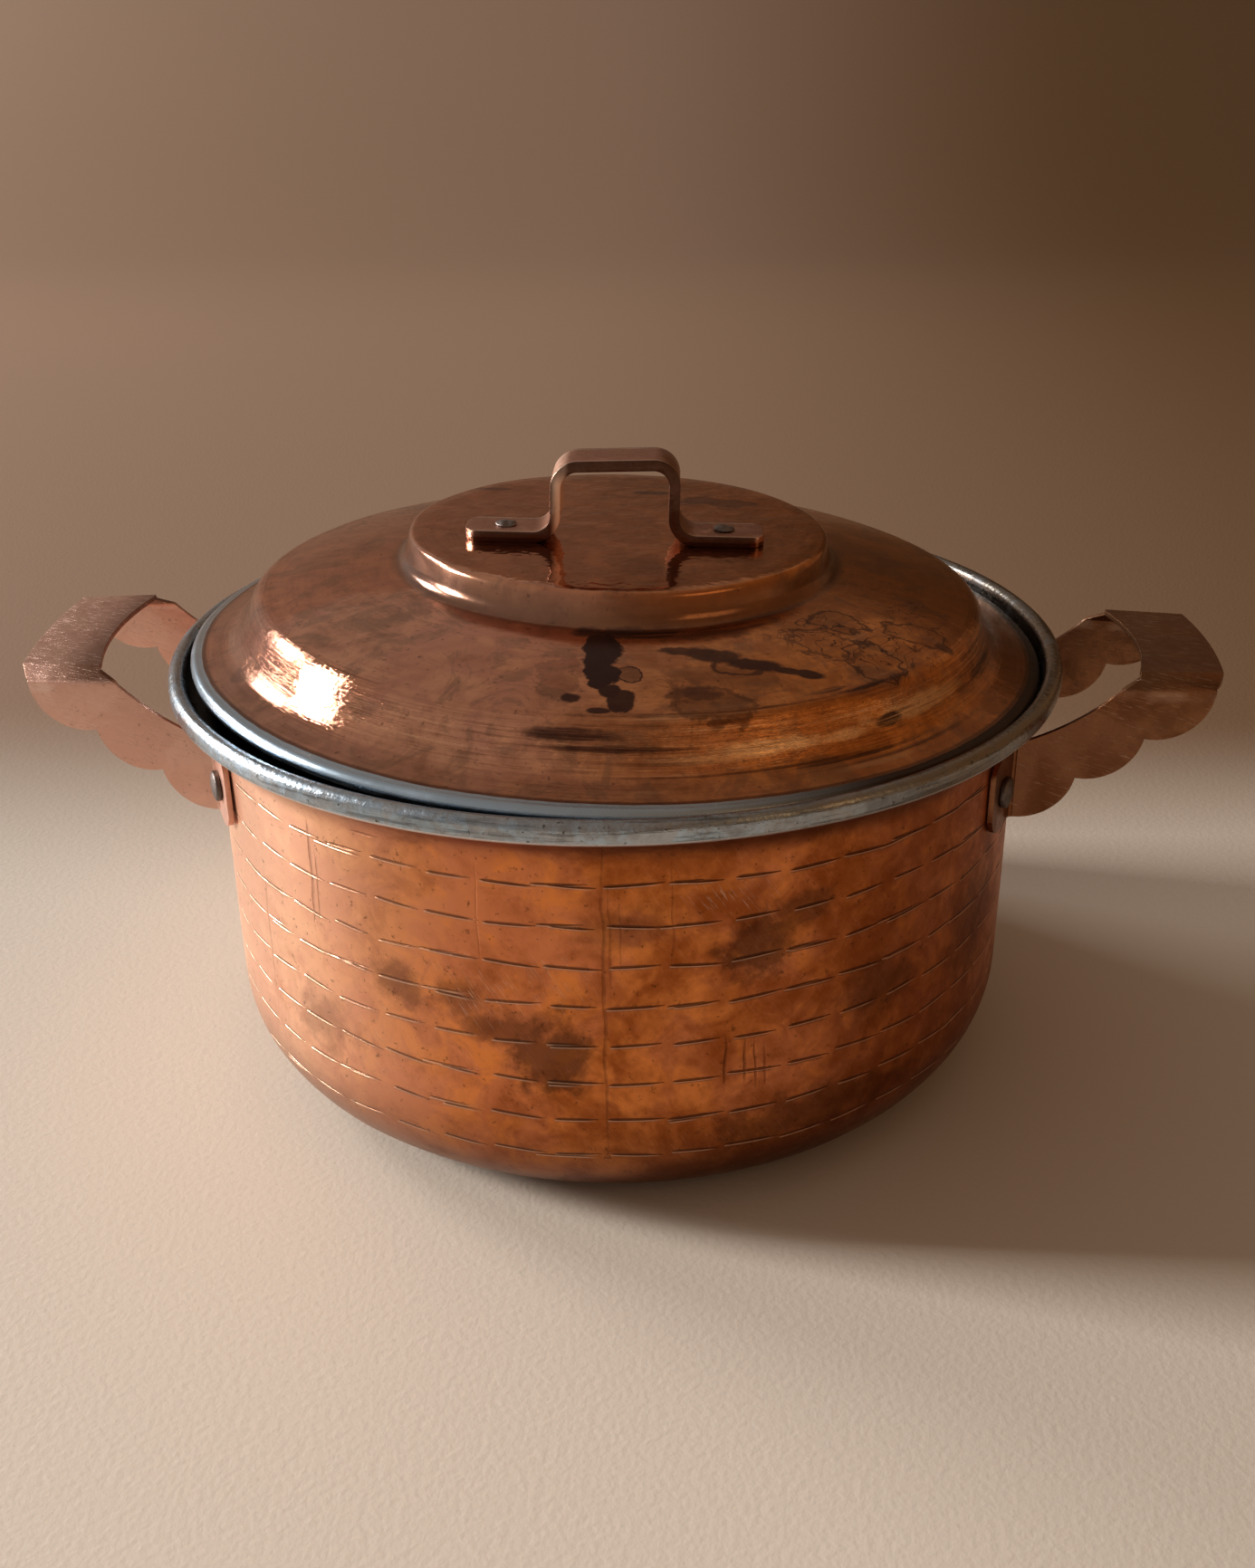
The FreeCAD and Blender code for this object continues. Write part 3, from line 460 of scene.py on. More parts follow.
def stains(tree, across, up, edge_noise, marks):
    """Masks of several stains and of their outlines, each joined into one. A mark is a middle, a
    half size, how soft, ragged and strong it is and, where it has one, how strong its outline is."""
    filled = 0.0
    outlined = 0.0
    for middle, half, softness, ragged, strength, *outline in marks:
        masks = use_group(tree, stain, {
            "Across": across, "Up": up, "Middle Across": middle[0], "Middle Up": middle[1],
            "Half Width": half[0], "Half Height": half[1], "Softness": softness, "Ragged": ragged,
            "Edge Noise": edge_noise})
        filled = calculate(tree, "MAXIMUM", filled, calculate(tree, "MULTIPLY", masks["Mask"], strength))
        if outline:
            outlined = calculate(
                tree, "MAXIMUM", outlined, calculate(tree, "MULTIPLY", masks["Outline"], *outline))
    return filled, outlined


# Middle (degrees round, millimetres up), half size, softness, raggedness, strength
WALL_STAINS = (
    ((21.5, 84.0), (5.0, 8.0), 0.4, 2.2, 0.8),
    ((27.0, 93.0), (4.5, 5.0), 0.4, 2.2, 0.6),
    ((-4.5, 55.0), (5.0, 12.0), 0.45, 2.4, 0.8),
    ((-9.5, 62.0), (5.0, 5.0), 0.5, 2.4, 0.7),
    ((-24.5, 70.0), (3.5, 6.0), 0.5, 2.2, 0.6),
    ((-15.5, 70.0), (3.5, 5.0), 0.5, 2.2, 0.5),
    ((-39.0, 48.0), (5.0, 9.0), 0.6, 2.0, 0.45),
    ((39.0, 62.0), (6.0, 8.0), 0.5, 2.2, 0.6),
    ((61.0, 66.0), (6.0, 16.0), 0.6, 2.0, 0.6),
    ((30.0, 30.0), (16.0, 7.0), 0.5, 2.2, 0.7),
    ((5.0, 93.0), (6.0, 5.0), 0.6, 2.2, 0.45),
    ((120.0, 70.0), (14.0, 18.0), 0.6, 2.2, 0.6),
    ((168.0, 52.0), (12.0, 14.0), 0.6, 2.2, 0.55),
    ((-140.0, 78.0), (12.0, 12.0), 0.6, 2.2, 0.6),
    ((-95.0, 55.0), (9.0, 14.0), 0.6, 2.2, 0.5),
)
# Uprights that mark out the strokes, a few slips of the chisel, and a scratch under the rim
WALL_CREASES = (
    ((-38.0, 93.0), (0.2, 14.0), 0.5, 1.6, 0.7),
    ((-37.0, 90.0), (0.16, 9.0), 0.5, 1.6, 0.5),
    ((2.4, 70.0), (0.2, 40.0), 0.6, 2.0, 0.75),
    ((3.2, 90.0), (0.15, 14.0), 0.5, 2.0, 0.5),
    ((4.4, 92.0), (0.13, 10.0), 0.5, 2.0, 0.4),
    ((10.6, 96.0), (0.14, 13.0), 0.5, 2.0, 0.4),
    ((-12.7, 96.0), (0.12, 12.0), 0.5, 1.6, 0.35),
    ((-50.5, 66.0), (0.16, 20.0), 0.5, 1.6, 0.4),
    ((52.7, 70.0), (0.16, 20.0), 0.5, 1.6, 0.4),
    ((17.4, 52.0), (0.2, 7.0), 0.5, 1.6, 0.8),
    ((20.0, 50.5), (0.22, 5.5), 0.6, 1.6, 0.7),
    ((21.4, 50.0), (0.18, 6.0), 0.6, 1.6, 0.6),
    ((22.7, 49.0), (0.2, 5.0), 0.6, 1.6, 0.5),
    ((-27.8, 110.8), (1.8, 0.35), 0.6, 0.6, 0.7),
)
# Patches that are rubbed with fine scratches
WALL_SCUFFS = (
    ((-13.5, 72.0), (5.0, 8.0), 0.6, 1.5, 1.0),
    ((-4.0, 76.0), (4.0, 7.0), 0.6, 1.5, 0.8),
    ((19.0, 99.5), (6.0, 4.5), 0.5, 1.5, 1.0),
    ((-31.0, 52.0), (6.0, 9.0), 0.7, 1.5, 0.7),
    ((75.0, 70.0), (9.0, 16.0), 0.7, 1.5, 0.7),
    ((-170.0, 70.0), (14.0, 16.0), 0.7, 1.5, 0.8),
)

# Tones of the left side and of the rest: paler on the lit left as painted light, browner to the right as
# painted shade
COPPER_BRIGHT = ((0.92, 0.56, 0.37, 1), (0.74, 0.25, 0.065, 1))
COPPER_BLUSH = ((0.88, 0.5, 0.34, 1), (0.64, 0.22, 0.09, 1))
COPPER_BROWN = ((0.62, 0.3, 0.18, 1), (0.3, 0.075, 0.014, 1))
COPPER_DARK = (0.05, 0.017, 0.008, 1)
COPPER_RUBBED_AND_SHEEN = (0.96, 0.66, 0.48, 1)
TIN_ON_WALL = (0.56, 0.57, 0.58, 1)

wall_copper, tree, shader = new_material("chased_copper_wall")
place = in_millimetres(tree)
where = use_group(tree, round_about, {"Place": place})
edge_noise = grain(tree, place, 0.15, 4.0, 0.65)
split = add_node(tree, "SeparateXYZ", {"Vector": place}).outputs
# The wall is painted paler towards the lit left and browner towards the right: painted light and shade.
rightward = fade(tree, split["X"], -105.0, -20.0)
tones = use_group(tree, tarnish, {
    "Place": place, "Bright": mixed(tree, rightward, *COPPER_BRIGHT),
    "Blush": mixed(tree, rightward, *COPPER_BLUSH), "Brown": mixed(tree, rightward, *COPPER_BROWN),
    "Dark": COPPER_DARK, "Cloud Size": 40.0,
    "Browning": fade(tree, split["X"], -95.0, 80.0, 0.4, 0.56), "Specks": 0.55})
patches, _ = stains(tree, where["Around"], where["Up"], edge_noise, WALL_STAINS)
waver = calculate(tree, "MULTIPLY", calculate(tree, "SUBTRACT", grain(tree, place, 0.06, 2.0), 0.5), 1.6)
unsteady = calculate(tree, "ADD", where["Around"], waver)
creases, _ = stains(tree, unsteady, where["Up"], grain(tree, place, 0.5, 3.0, 0.7), WALL_CREASES)
chased = use_group(tree, chased_rows, {"Around": where["Around"], "Up": where["Up"]})
scuffed, _ = stains(tree, where["Around"], where["Up"], edge_noise, WALL_SCUFFS)
across = calculate(tree, "MULTIPLY", where["Around"], MM_PER_DEGREE)
rubbed = use_group(tree, scratches, {
    "Across": across, "Up": where["Up"], "Turn": 1.0, "Length": 7.0, "Width": 0.45})["Lines"]
rubbed = calculate(tree, "MULTIPLY", rubbed, calculate(tree, "ADD", scuffed, 0.12))
# The wall is painted darker just under the rim and towards its foot, as painted shade; the patches are real
# stains.
under_rim_shade = fade(tree, where["Up"], 108.0, 118.0, 0.0, 0.8)
foot = fade(tree, where["Up"], 4.0, 48.0, 0.85, 0.0)
stains_and_shade = calculate(tree, "MAXIMUM", calculate(tree, "MAXIMUM", patches, under_rim_shade), foot)
color = mixed(tree, calculate(tree, "MULTIPLY", stains_and_shade, 0.85), tones["Color"], COPPER_DARK)
# Rubbed scratches are lightened as real wear, and the strokes' lower edges as a painted highlight.
color = mixed(tree, calculate(tree, "MULTIPLY", rubbed, 0.35), color, COPPER_RUBBED_AND_SHEEN)
color = mixed(tree, calculate(tree, "MULTIPLY", chased["Lip"], 0.42), color, COPPER_RUBBED_AND_SHEEN)
cuts = calculate(tree, "MAXIMUM", chased["Groove"], calculate(tree, "MULTIPLY", creases, 0.6))
color = mixed(tree, calculate(tree, "MULTIPLY", cuts, 0.7), color, COPPER_DARK)
wipe = calculate(tree, "ADD", where["Up"], calculate(tree, "MULTIPLY", edge_noise, 0.8))
tinned = fade(tree, wipe, TIN_LINE - 0.6, TIN_LINE - 0.3)
color = mixed(tree, tinned, color, TIN_ON_WALL)
feed(tree, shader.inputs["Base Color"], color)
rough = calculate(tree, "ADD", fade(tree, tones["Cloud"], 0.0, 1.0, 0.36, 0.46),
                  calculate(tree, "MULTIPLY", patches, 0.1))
feed(tree, shader.inputs["Roughness"], rough)
planished = grain(tree, place, 0.11, 1.0, 0.4)
skin = calculate(tree, "MULTIPLY", tones["Fine"], 0.16)
height = calculate(tree, "ADD", calculate(tree, "MULTIPLY", planished, 0.4), skin)
height = calculate(tree, "SUBTRACT", height, calculate(tree, "MULTIPLY", cuts, 0.8))
height = calculate(tree, "ADD", height, calculate(tree, "MULTIPLY", chased["Lip"], 0.35))
height = calculate(tree, "SUBTRACT", height, calculate(tree, "MULTIPLY", rubbed, 0.12))
bumped(tree, shader, height, 0.6 * MM)

TIN_COLOR = (0.4, 0.5, 0.59, 1)
TIN_GREY = (0.4, 0.42, 0.44, 1)
TIN_DULL = (0.22, 0.23, 0.24, 1)
TIN_SHADED = (0.26, 0.22, 0.17, 1)
TIN_SPECK = (0.06, 0.05, 0.04, 1)
TIN_STREAK = (0.07, 0.075, 0.08, 1)

tin, tree, shader = new_material("wiped_tin")
place = in_millimetres(tree)
# The tin is painted bluer and lighter towards the lit left and darker brown towards the right, as painted
# light and shade.
rightward = fade(tree, add_node(tree, "SeparateXYZ", {"Vector": place}).outputs["X"], 10.0, 120.0)
tones = use_group(tree, tarnish, {
    "Place": place, "Bright": mixed(tree, rightward, TIN_COLOR, TIN_SHADED),
    "Blush": mixed(tree, rightward, TIN_GREY, TIN_SHADED), "Brown": TIN_DULL,
    "Dark": TIN_SPECK, "Cloud Size": 16.0, "Browning": 0.47, "Specks": 0.8})
where = use_group(tree, round_about, {"Place": place})
wiped = add_node(tree, "CombineXYZ", {
    "X": where["Out"],
    "Y": calculate(tree, "MULTIPLY", where["Around"], 0.12),
    "Z": where["Up"]}).outputs[0]
wipes = grain(tree, wiped, 0.8, 4.0, 0.7)
color = mixed(tree, fade(tree, wipes, 0.5, 0.64, 0.0, 0.6), tones["Color"], TIN_STREAK)
feed(tree, shader.inputs["Base Color"], color)
feed(tree, shader.inputs["Roughness"], fade(tree, tones["Cloud"], 0.0, 1.0, 0.22, 0.38))
uneven = calculate(tree, "ADD", grain(tree, place, 0.5, 3.0, 0.6), calculate(tree, "MULTIPLY", wipes, 0.8))
bumped(tree, shader, uneven, 0.2 * MM)

pot_shell.data.materials.append(wall_copper)
pot_shell.data.materials.append(tin)
for face in pot_shell.data.polygons:
    middle = face.center / MM
    out = math.hypot(middle.x, middle.y)
    on_rim = middle.z > TIN_LINE
    facing_in = face.normal.x * middle.x + face.normal.y * middle.y < 0
    on_floor = face.normal.z > 0.5 and out < wall_inner
    face.material_index = 1 if on_rim or facing_in or on_floor else 0

# One iron wire is sealed in the pot's rolled rim and another in the lid's edge. The copper is
# rolled over them, so neither shows. Both keep the CAD's shape and get plain rusty iron.

WIRE_IRON = (0.33, 0.31, 0.3, 1)
WIRE_RUST = (0.18, 0.13, 0.1, 1)

wire_iron, tree, shader = new_material("plain_iron_wire")
rust = grain(tree, in_millimetres(tree), 0.3, 4.0, 0.6)
feed(tree, shader.inputs["Base Color"], mixed(tree, rust, WIRE_IRON, WIRE_RUST))
feed(tree, shader.inputs["Roughness"], fade(tree, rust, 0.3, 0.7, 0.35, 0.6))
for wire in (nodes["rim_wire"], nodes["lid_wire"]):
    wire.data.materials.clear()
    wire.data.materials.append(wire_iron)

# Each side handle is folded from one sheet of copper: a flat grip, a fold along each long edge,
# two scalloped legs and two tabs that lie on the wall. The metal is left dull and finely scratched.

HANDLE_EDGE = 0.32
HANDLE_FOLD = 1.2
SHARP_EDGE = math.radians(24)
FOLD_STEEPEST = math.radians(60)
FOLD_SHORTEST = 5.0
FOLD_HEIGHT = 124.4
HANDLE_SPECK = (0.12, 0.07, 0.05, 1)
# The bright, blushed and brown tone, how brown it is, and the tone of scratches and of the painted
# highlight along the fold. The left handle's tones are painted lighter and the right one's darker, as
# painted light and shade.
LIT_PINK_COPPER = (
    (0.76, 0.46, 0.36, 1), (0.7, 0.4, 0.31, 1), (0.17, 0.085, 0.05, 1), 0.3, (0.9, 0.66, 0.56, 1))
SHADED_BROWN_COPPER = (
    (0.29, 0.13, 0.06, 1), (0.23, 0.1, 0.05, 1), (0.14, 0.065, 0.028, 1), 0.44, (0.6, 0.42, 0.3, 1))


def softened(name, node, edge, body, fold=0.0):
    """A copy of a CAD node whose sharp edges are broken, and which stands for the node. Where a
    fold is given, its folds between 24 and 60 degrees are rounded first."""
    bpy.ops.object.select_all(action="DESELECT")
    piece = bpy.data.objects.new(name, nodes[node].data.copy())
    bpy.context.scene.collection.objects.link(piece)
    bpy.context.view_layer.objects.active = piece
    piece.select_set(True)
    piece.data.materials.clear()
    bpy.ops.object.mode_set(mode="EDIT")
    bpy.ops.mesh.select_all(action="SELECT")
    bpy.ops.mesh.remove_doubles(threshold=MM / 100)
    bpy.ops.mesh.dissolve_limited(angle_limit=math.radians(1))
    if fold:
        bpy.ops.mesh.select_mode(type="EDGE")
        bpy.ops.mesh.select_all(action="DESELECT")
        bpy.ops.mesh.edges_select_sharp(sharpness=SHARP_EDGE)
        bpy.ops.object.mode_set(mode="OBJECT")
        unselect_corners(piece)
        bpy.ops.object.mode_set(mode="EDIT")
        bpy.ops.mesh.bevel(offset=fold * MM, segments=4, clamp_overlap=True)
    bpy.ops.object.mode_set(mode="OBJECT")
    bevel = piece.modifiers.new("broken_edges", "BEVEL")
    bevel.width = edge * MM
    bevel.segments = 3
    bevel.limit_method = "ANGLE"
    bevel.angle_limit = SHARP_EDGE
    bpy.ops.object.modifier_apply(modifier=bevel.name)
    bpy.ops.object.shade_smooth_by_angle(angle=SHARP_EDGE)
    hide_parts(node)
    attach(piece, body)
    return piece


def unselect_corners(piece):
    """Leave only the folds selected: edges steeper than a fold, or shorter than one, come out."""
    beside = {}
    for face in piece.data.polygons:
        for key in face.edge_keys:
            beside.setdefault(key, []).append(face.normal)
    for edge in piece.data.edges:
        first, last = (piece.data.vertices[i].co for i in edge.vertices)
        normals = beside[edge.key]
        steep = normals[0].angle(normals[1]) > FOLD_STEEPEST
        if steep or (last - first).length < FOLD_SHORTEST * MM:
            edge.select = False


def handle_copper(name, bright, blush, brown, browning, shine):
    """Dull scratched copper. The grip is painted browner than the legs below it, most of all towards the
    pot, as painted shade, and a band along the lower fold is painted lighter, as painted highlight.
    """
    material, tree, shader = new_material(name)
    place = in_millimetres(tree)
    split = add_node(tree, "SeparateXYZ", {"Vector": place}).outputs
    # The grip is painted browner, most towards the pot, as painted shade.
    on_grip = fade(tree, split["Z"], 125.8, 127.0)
    inward = fade(tree, calculate(tree, "ABSOLUTE", split["X"]), 140.0, 160.0, 1.0, 0.0)
    grip_shade = calculate(tree, "MULTIPLY", on_grip, fade(tree, inward, 0.0, 1.0, 0.45, 0.9))
    tones = use_group(tree, tarnish, {
        "Place": place, "Bright": bright, "Blush": blush, "Brown": brown, "Dark": HANDLE_SPECK,
        "Cloud Size": 46.0, "Browning": browning, "Specks": 0.35})
    lines = use_group(tree, scratches, {
        "Across": split["X"], "Up": calculate(tree, "ADD", split["Y"], split["Z"]), "Turn": 0.3,
        "Length": 6.0, "Width": 0.5})["Lines"]
    # A band along the lower fold is painted lighter, as painted highlight; the fine scratches are real
    # wear.
    from_fold = calculate(tree, "ABSOLUTE", calculate(tree, "SUBTRACT", split["Z"], FOLD_HEIGHT))
    fold_sheen = fade(tree, from_fold, 0.3, 2.4, 1.0, 0.0)
    wear_and_sheen = calculate(tree, "MULTIPLY", fold_sheen, fade(tree, grain(tree, place, 0.12, 3.0), 0.4, 0.6))
    wear_and_sheen = calculate(tree, "MAXIMUM", calculate(tree, "MULTIPLY", lines, 0.3),
                     calculate(tree, "MULTIPLY", wear_and_sheen, 0.4))
    color = mixed(tree, grip_shade, tones["Color"], brown)
    feed(tree, shader.inputs["Base Color"], mixed(tree, wear_and_sheen, color, shine))
    feed(tree, shader.inputs["Roughness"], fade(tree, tones["Cloud"], 0.0, 1.0, 0.42, 0.54))
    uneven = calculate(tree, "ADD", calculate(tree, "MULTIPLY", grain(tree, place, 0.09, 2.0), 0.7),
                       calculate(tree, "MULTIPLY", tones["Fine"], 0.3))
    uneven = calculate(tree, "SUBTRACT", uneven, calculate(tree, "MULTIPLY", lines, 0.08))
    bumped(tree, shader, uneven, 0.5 * MM)
    return material


# The left handle is painted lighter and pinker and the right one darker and browner: painted light and
# shade on one copper.
for side, name, tones in (
        ("left", "lit_dull_pink_copper", LIT_PINK_COPPER), ("right", "shaded_dull_brown_copper", SHADED_BROWN_COPPER)):
    handle = softened(
        f"{side}_side_handle", f"{side}_handle", HANDLE_EDGE, "pot", HANDLE_FOLD)
    handle.data.materials.append(handle_copper(name, *tones))

# One short iron rivet holds each of the handles' four tabs. Its thick drum head is outside and its
# tail is spread low inside the pot. The iron is dark with scale from the forge.

RIVET_EDGE = 0.45
RIVET_IRON = (0.24, 0.2, 0.18, 1)
RIVET_SCALE = (0.09, 0.075, 0.07, 1)

rivet_iron, tree, shader = new_material("dark_rivet_iron")
place = in_millimetres(tree)
scale = grain(tree, place, 0.5, 4.0, 0.6)
feed(tree, shader.inputs["Base Color"], mixed(tree, scale, RIVET_IRON, RIVET_SCALE))
feed(tree, shader.inputs["Roughness"], fade(tree, scale, 0.3, 0.7, 0.38, 0.55))
bumped(tree, shader, scale, 0.35 * MM)

for node in ("left_front_rivet", "left_rear_rivet", "right_front_rivet", "right_rear_rivet"):
    rivet = softened(f"{node}_head", node, RIVET_EDGE, "pot")
    rivet.data.materials.append(rivet_iron)

# The lid is raised from one sheet: a flat disc, a riser, a gently domed middle, a steep shoulder and
# a brim whose edge is rolled over a wire. It lies a little askew on the pot's seat. The top was
# burnished on a wheel and has stained since; the edge and the underside are wiped with tin.

LID_SHEET = 0.9
LID_BEAD = 2.1
BEAD_MIDDLE = 121.5
LID_MIDDLE = (0.0004, 0, 0.12526)
LID_TURN = (0, math.radians(1.78), math.radians(2.4))
DISC_RADIUS = 60.1
DISC_HEIGHT = 33.7
RISER_FOOT = (61.9, 25.2)
SHOULDER_TOP = (104.8, 16.8)
SHOULDER_FOOT = (109.6, 5.7)
DOME_RADIUS = 260
BRIM_RADIUS = 60
DISC_ROUND = 1.8
RISER_ROUND = 4.2
SHOULDER_ROUND = 6.0
BRIM_ROUND = 8.0
LID_DENTS = 30


def arch(first, last, radius, bulge, steps):
    """Points along a shallow arc, both ends included. It bulges up where the bulge is 1."""
    chord = math.dist(first, last)
    rise = math.sqrt(radius * radius - chord * chord / 4) * bulge
    middle = (
        (first[0] + last[0]) / 2 + (last[1] - first[1]) / chord * rise,
        (first[1] + last[1]) / 2 - (last[0] - first[0]) / chord * rise)
    angles = [math.degrees(math.atan2(p[1] - middle[1], p[0] - middle[0])) for p in (first, last)]
    return arc(middle, radius, *angles, steps)


def round_corner(before, corner, after, radius, steps):
    """Points of an arc that rounds the corner between two directions."""
    ways = []
    for other in (before, after):
        run = math.dist(corner, other)
        ways.append(((other[0] - corner[0]) / run, (other[1] - corner[1]) / run))
    half = math.acos(ways[0][0] * ways[1][0] + ways[0][1] * ways[1][1]) / 2
    reach = radius / math.tan(half)
    first, last = ((corner[0] + way[0] * reach, corner[1] + way[1] * reach) for way in ways)
    way = (ways[0][0] + ways[1][0], ways[0][1] + ways[1][1])
    size = math.hypot(*way)
    middle = tuple(c + w / size * radius / math.sin(half) for c, w in zip(corner, way))
    start, end = (math.atan2(p[1] - middle[1], p[0] - middle[0]) for p in (first, last))
    sweep = (end - start + math.pi) % math.tau - math.pi
    return arc(middle, radius, math.degrees(start), math.degrees(start + sweep), steps)


def lid_face(inset):
    """The lid's outline from its axis to its rolled edge, moved in and down by an inset."""
    disc, riser, top, foot = (
        (out - inset, up - inset)
        for out, up in ((DISC_RADIUS, DISC_HEIGHT), RISER_FOOT, SHOULDER_TOP, SHOULDER_FOOT))
    end = (BEAD_MIDDLE, LID_BEAD - inset)
    dome = arch(riser, top, DOME_RADIUS - inset, 1, 30)
    brim = arch(foot, end, BRIM_RADIUS + inset, -1, 12)
    return [
        (0, disc[1]),
        *straight((0, disc[1]), (disc[0] - 2.4, disc[1]), 12),
        *round_corner((0, disc[1]), disc, riser, DISC_ROUND - inset, 6),
        *straight(disc, riser, 5)[1:-1],
        *round_corner(disc, riser, dome[1], RISER_ROUND + inset, 8),
        *dome[3:-3],
        *round_corner(dome[-2], top, foot, SHOULDER_ROUND - inset, 9),
        *straight(top, foot, 5)[1:-1],
        *round_corner(top, foot, brim[1], BRIM_ROUND + inset, 9),
        *[point for point in brim if point[0] > foot[0] + 4.2],
    ]


under = lid_face(LID_SHEET)
lid_outline = [
    *lid_face(0),
    *arc((BEAD_MIDDLE, 0), LID_BEAD, 82, -210, 26),
    *[point for point in reversed(under) if point[0] < BEAD_MIDDLE - LID_BEAD],
]
lid = turned_shell("lid_copper_shell", lid_outline)
hammered(lid, LID_DENTS, DENT_DEPTH, upright=False)
lid_placed = (
    Matrix.Translation(LID_MIDDLE)
    @ Matrix.Rotation(LID_TURN[2], 4, "Z")
    @ Matrix.Rotation(LID_TURN[1], 4, "Y"))
lid.data.transform(lid_placed)
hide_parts("lid_shell")
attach(lid, "lid")

# Middle (millimetres right of and behind the lid's own), half size, the rest as above, outline
LID_STAINS = (
    ((-2.0, -75.0), (4.8, 11.0), 0.1, 1.2, 0.97),
    ((-1.4, -86.0), (4.4, 6.5), 0.1, 1.4, 0.97),
    ((0.8, -93.0), (3.0, 3.0), 0.14, 1.2, 0.95),
    ((3.4, -97.0), (3.9, 4.8), 0.1, 1.2, 0.92),
    ((-1.4, -100.8), (2.8, 1.3), 0.2, 1.2, 0.9),
    ((5.6, -85.4), (3.4, 3.4), 0.14, 1.2, 0.5, 0.9),
    ((-8.7, -96.1), (2.1, 2.0), 0.25, 2.0, 0.9),
    ((-12.0, -88.0), (5.0, 8.0), 0.3, 2.4, 0.2, 0.3),
    ((22.5, -92.5), (7.0, 3.2), 0.3, 2.0, 0.7, 0.3),
    ((17.0, -73.6), (5.0, 1.9), 0.2, 1.3, 0.8),
    ((26.0, -74.6), (7.0, 3.4), 0.2, 1.4, 0.85, 0.5),
    ((36.5, -77.2), (7.0, 2.9), 0.2, 1.2, 0.9, 0.4),
    ((44.5, -78.2), (4.5, 1.5), 0.25, 1.0, 0.9),
    ((50.5, -78.4), (3.6, 2.0), 0.2, 0.8, 0.92),
    ((32.0, -79.0), (6.0, 3.4), 0.25, 0.9, 0.0, 0.8),
    ((26.0, -95.0), (10.0, 5.5), 0.25, 1.4, 0.45, 0.6),
    ((30.0, -85.0), (12.0, 4.0), 0.4, 1.6, 0.3, 0.3),
    ((81.0, -46.5), (9.0, 5.5), 0.14, 1.3, 0.1, 0.7),
    ((60.0, -47.5), (8.0, 5.5), 0.16, 1.4, 0.12, 0.7),
    ((68.0, -66.5), (7.0, 8.5), 0.14, 1.6, 0.12, 0.75),
    ((56.0, -62.0), (9.0, 7.0), 0.16, 1.6, 0.12, 0.6),
    ((88.5, -50.5), (2.4, 2.2), 0.3, 1.2, 0.7),
    ((9.0, 37.5), (4.6, 2.0), 0.3, 1.4, 0.7, 0.5),
    ((24.5, 30.0), (5.5, 3.2), 0.3, 1.4, 0.55, 0.6),
    ((34.0, 27.5), (5.5, 3.2), 0.3, 1.4, 0.45, 0.7),
    ((-41.0, 37.5), (6.5, 1.5), 0.4, 1.4, 0.6),
    ((-52.0, 68.0), (16.0, 12.0), 0.5, 2.0, 0.4, 0.5),
    ((14.0, 88.0), (20.0, 8.0), 0.5, 2.0, 0.4, 0.5),
)
# The same by degrees round and millimetres out, for marks that run round with the wheel
LID_RING_STAINS = (
    ((4.0, 66.0), (13.0, 2.8), 0.25, 1.4, 0.95),
    ((24.0, 67.6), (15.0, 3.2), 0.4, 1.6, 0.75),
    ((40.0, 64.0), (16.0, 0.9), 0.4, 1.0, 0.75),
    ((14.0, 102.6), (16.0, 0.55), 0.5, 2.0, 0.85),
    ((33.0, 100.4), (3.6, 0.7), 0.4, 1.2, 0.85),
    ((39.0, 102.2), (4.5, 0.8), 0.5, 1.6, 0.85),
    ((-4.5, 106.1), (6.0, 0.75), 0.3, 1.0, 0.8),
    ((1.0, 107.4), (9.0, 0.35), 0.5, 1.4, 0.75),
    ((41.0, 107.9), (2.6, 0.7), 0.3, 1.0, 0.85),
    ((34.0, 112.2), (11.0, 0.5), 0.5, 1.6, 0.85),
    ((20.0, 111.4), (14.0, 0.4), 0.6, 1.6, 0.6),
    ((44.0, 114.2), (12.0, 0.6), 0.6, 1.6, 0.7),
    ((69.0, 108.2), (5.0, 0.9), 0.4, 1.6, 0.8),
)
# Patches on the shoulder's front painted bright, as painted highlights
LID_SHEEN_PATCHES = (
    ((21.0, 108.0), (6.5, 0.8), 0.5, 1.2, 0.85),
    ((33.0, 108.2), (3.5, 0.6), 0.5, 1.2, 0.6),
    ((48.0, 107.6), (10.0, 0.9), 0.5, 1.4, 0.8),
    ((13.0, 108.6), (6.0, 0.6), 0.6, 1.4, 0.5),
    ((36.0, 115.6), (6.0, 1.0), 0.6, 1.4, 0.4),
)
# Where the tarnish has drawn curling tide marks
LID_VEINS = (
    ((64.0, -58.0), (20.0, 15.0), 0.5, 1.2, 1.0),
    ((84.0, -36.0), (11.0, 14.0), 0.5, 1.2, 0.7),
    ((30.0, 29.0), (12.0, 8.0), 0.5, 1.2, 0.7),
    ((24.0, -90.0), (14.0, 8.0), 0.5, 1.2, 0.5),
    ((-70.0, 50.0), (22.0, 22.0), 0.5, 1.2, 0.7),
)
TIN_EDGE = 120.4
STEP_RADIUS = 62.6
LID_STAIN_COLOR = (0.035, 0.014, 0.014, 1)
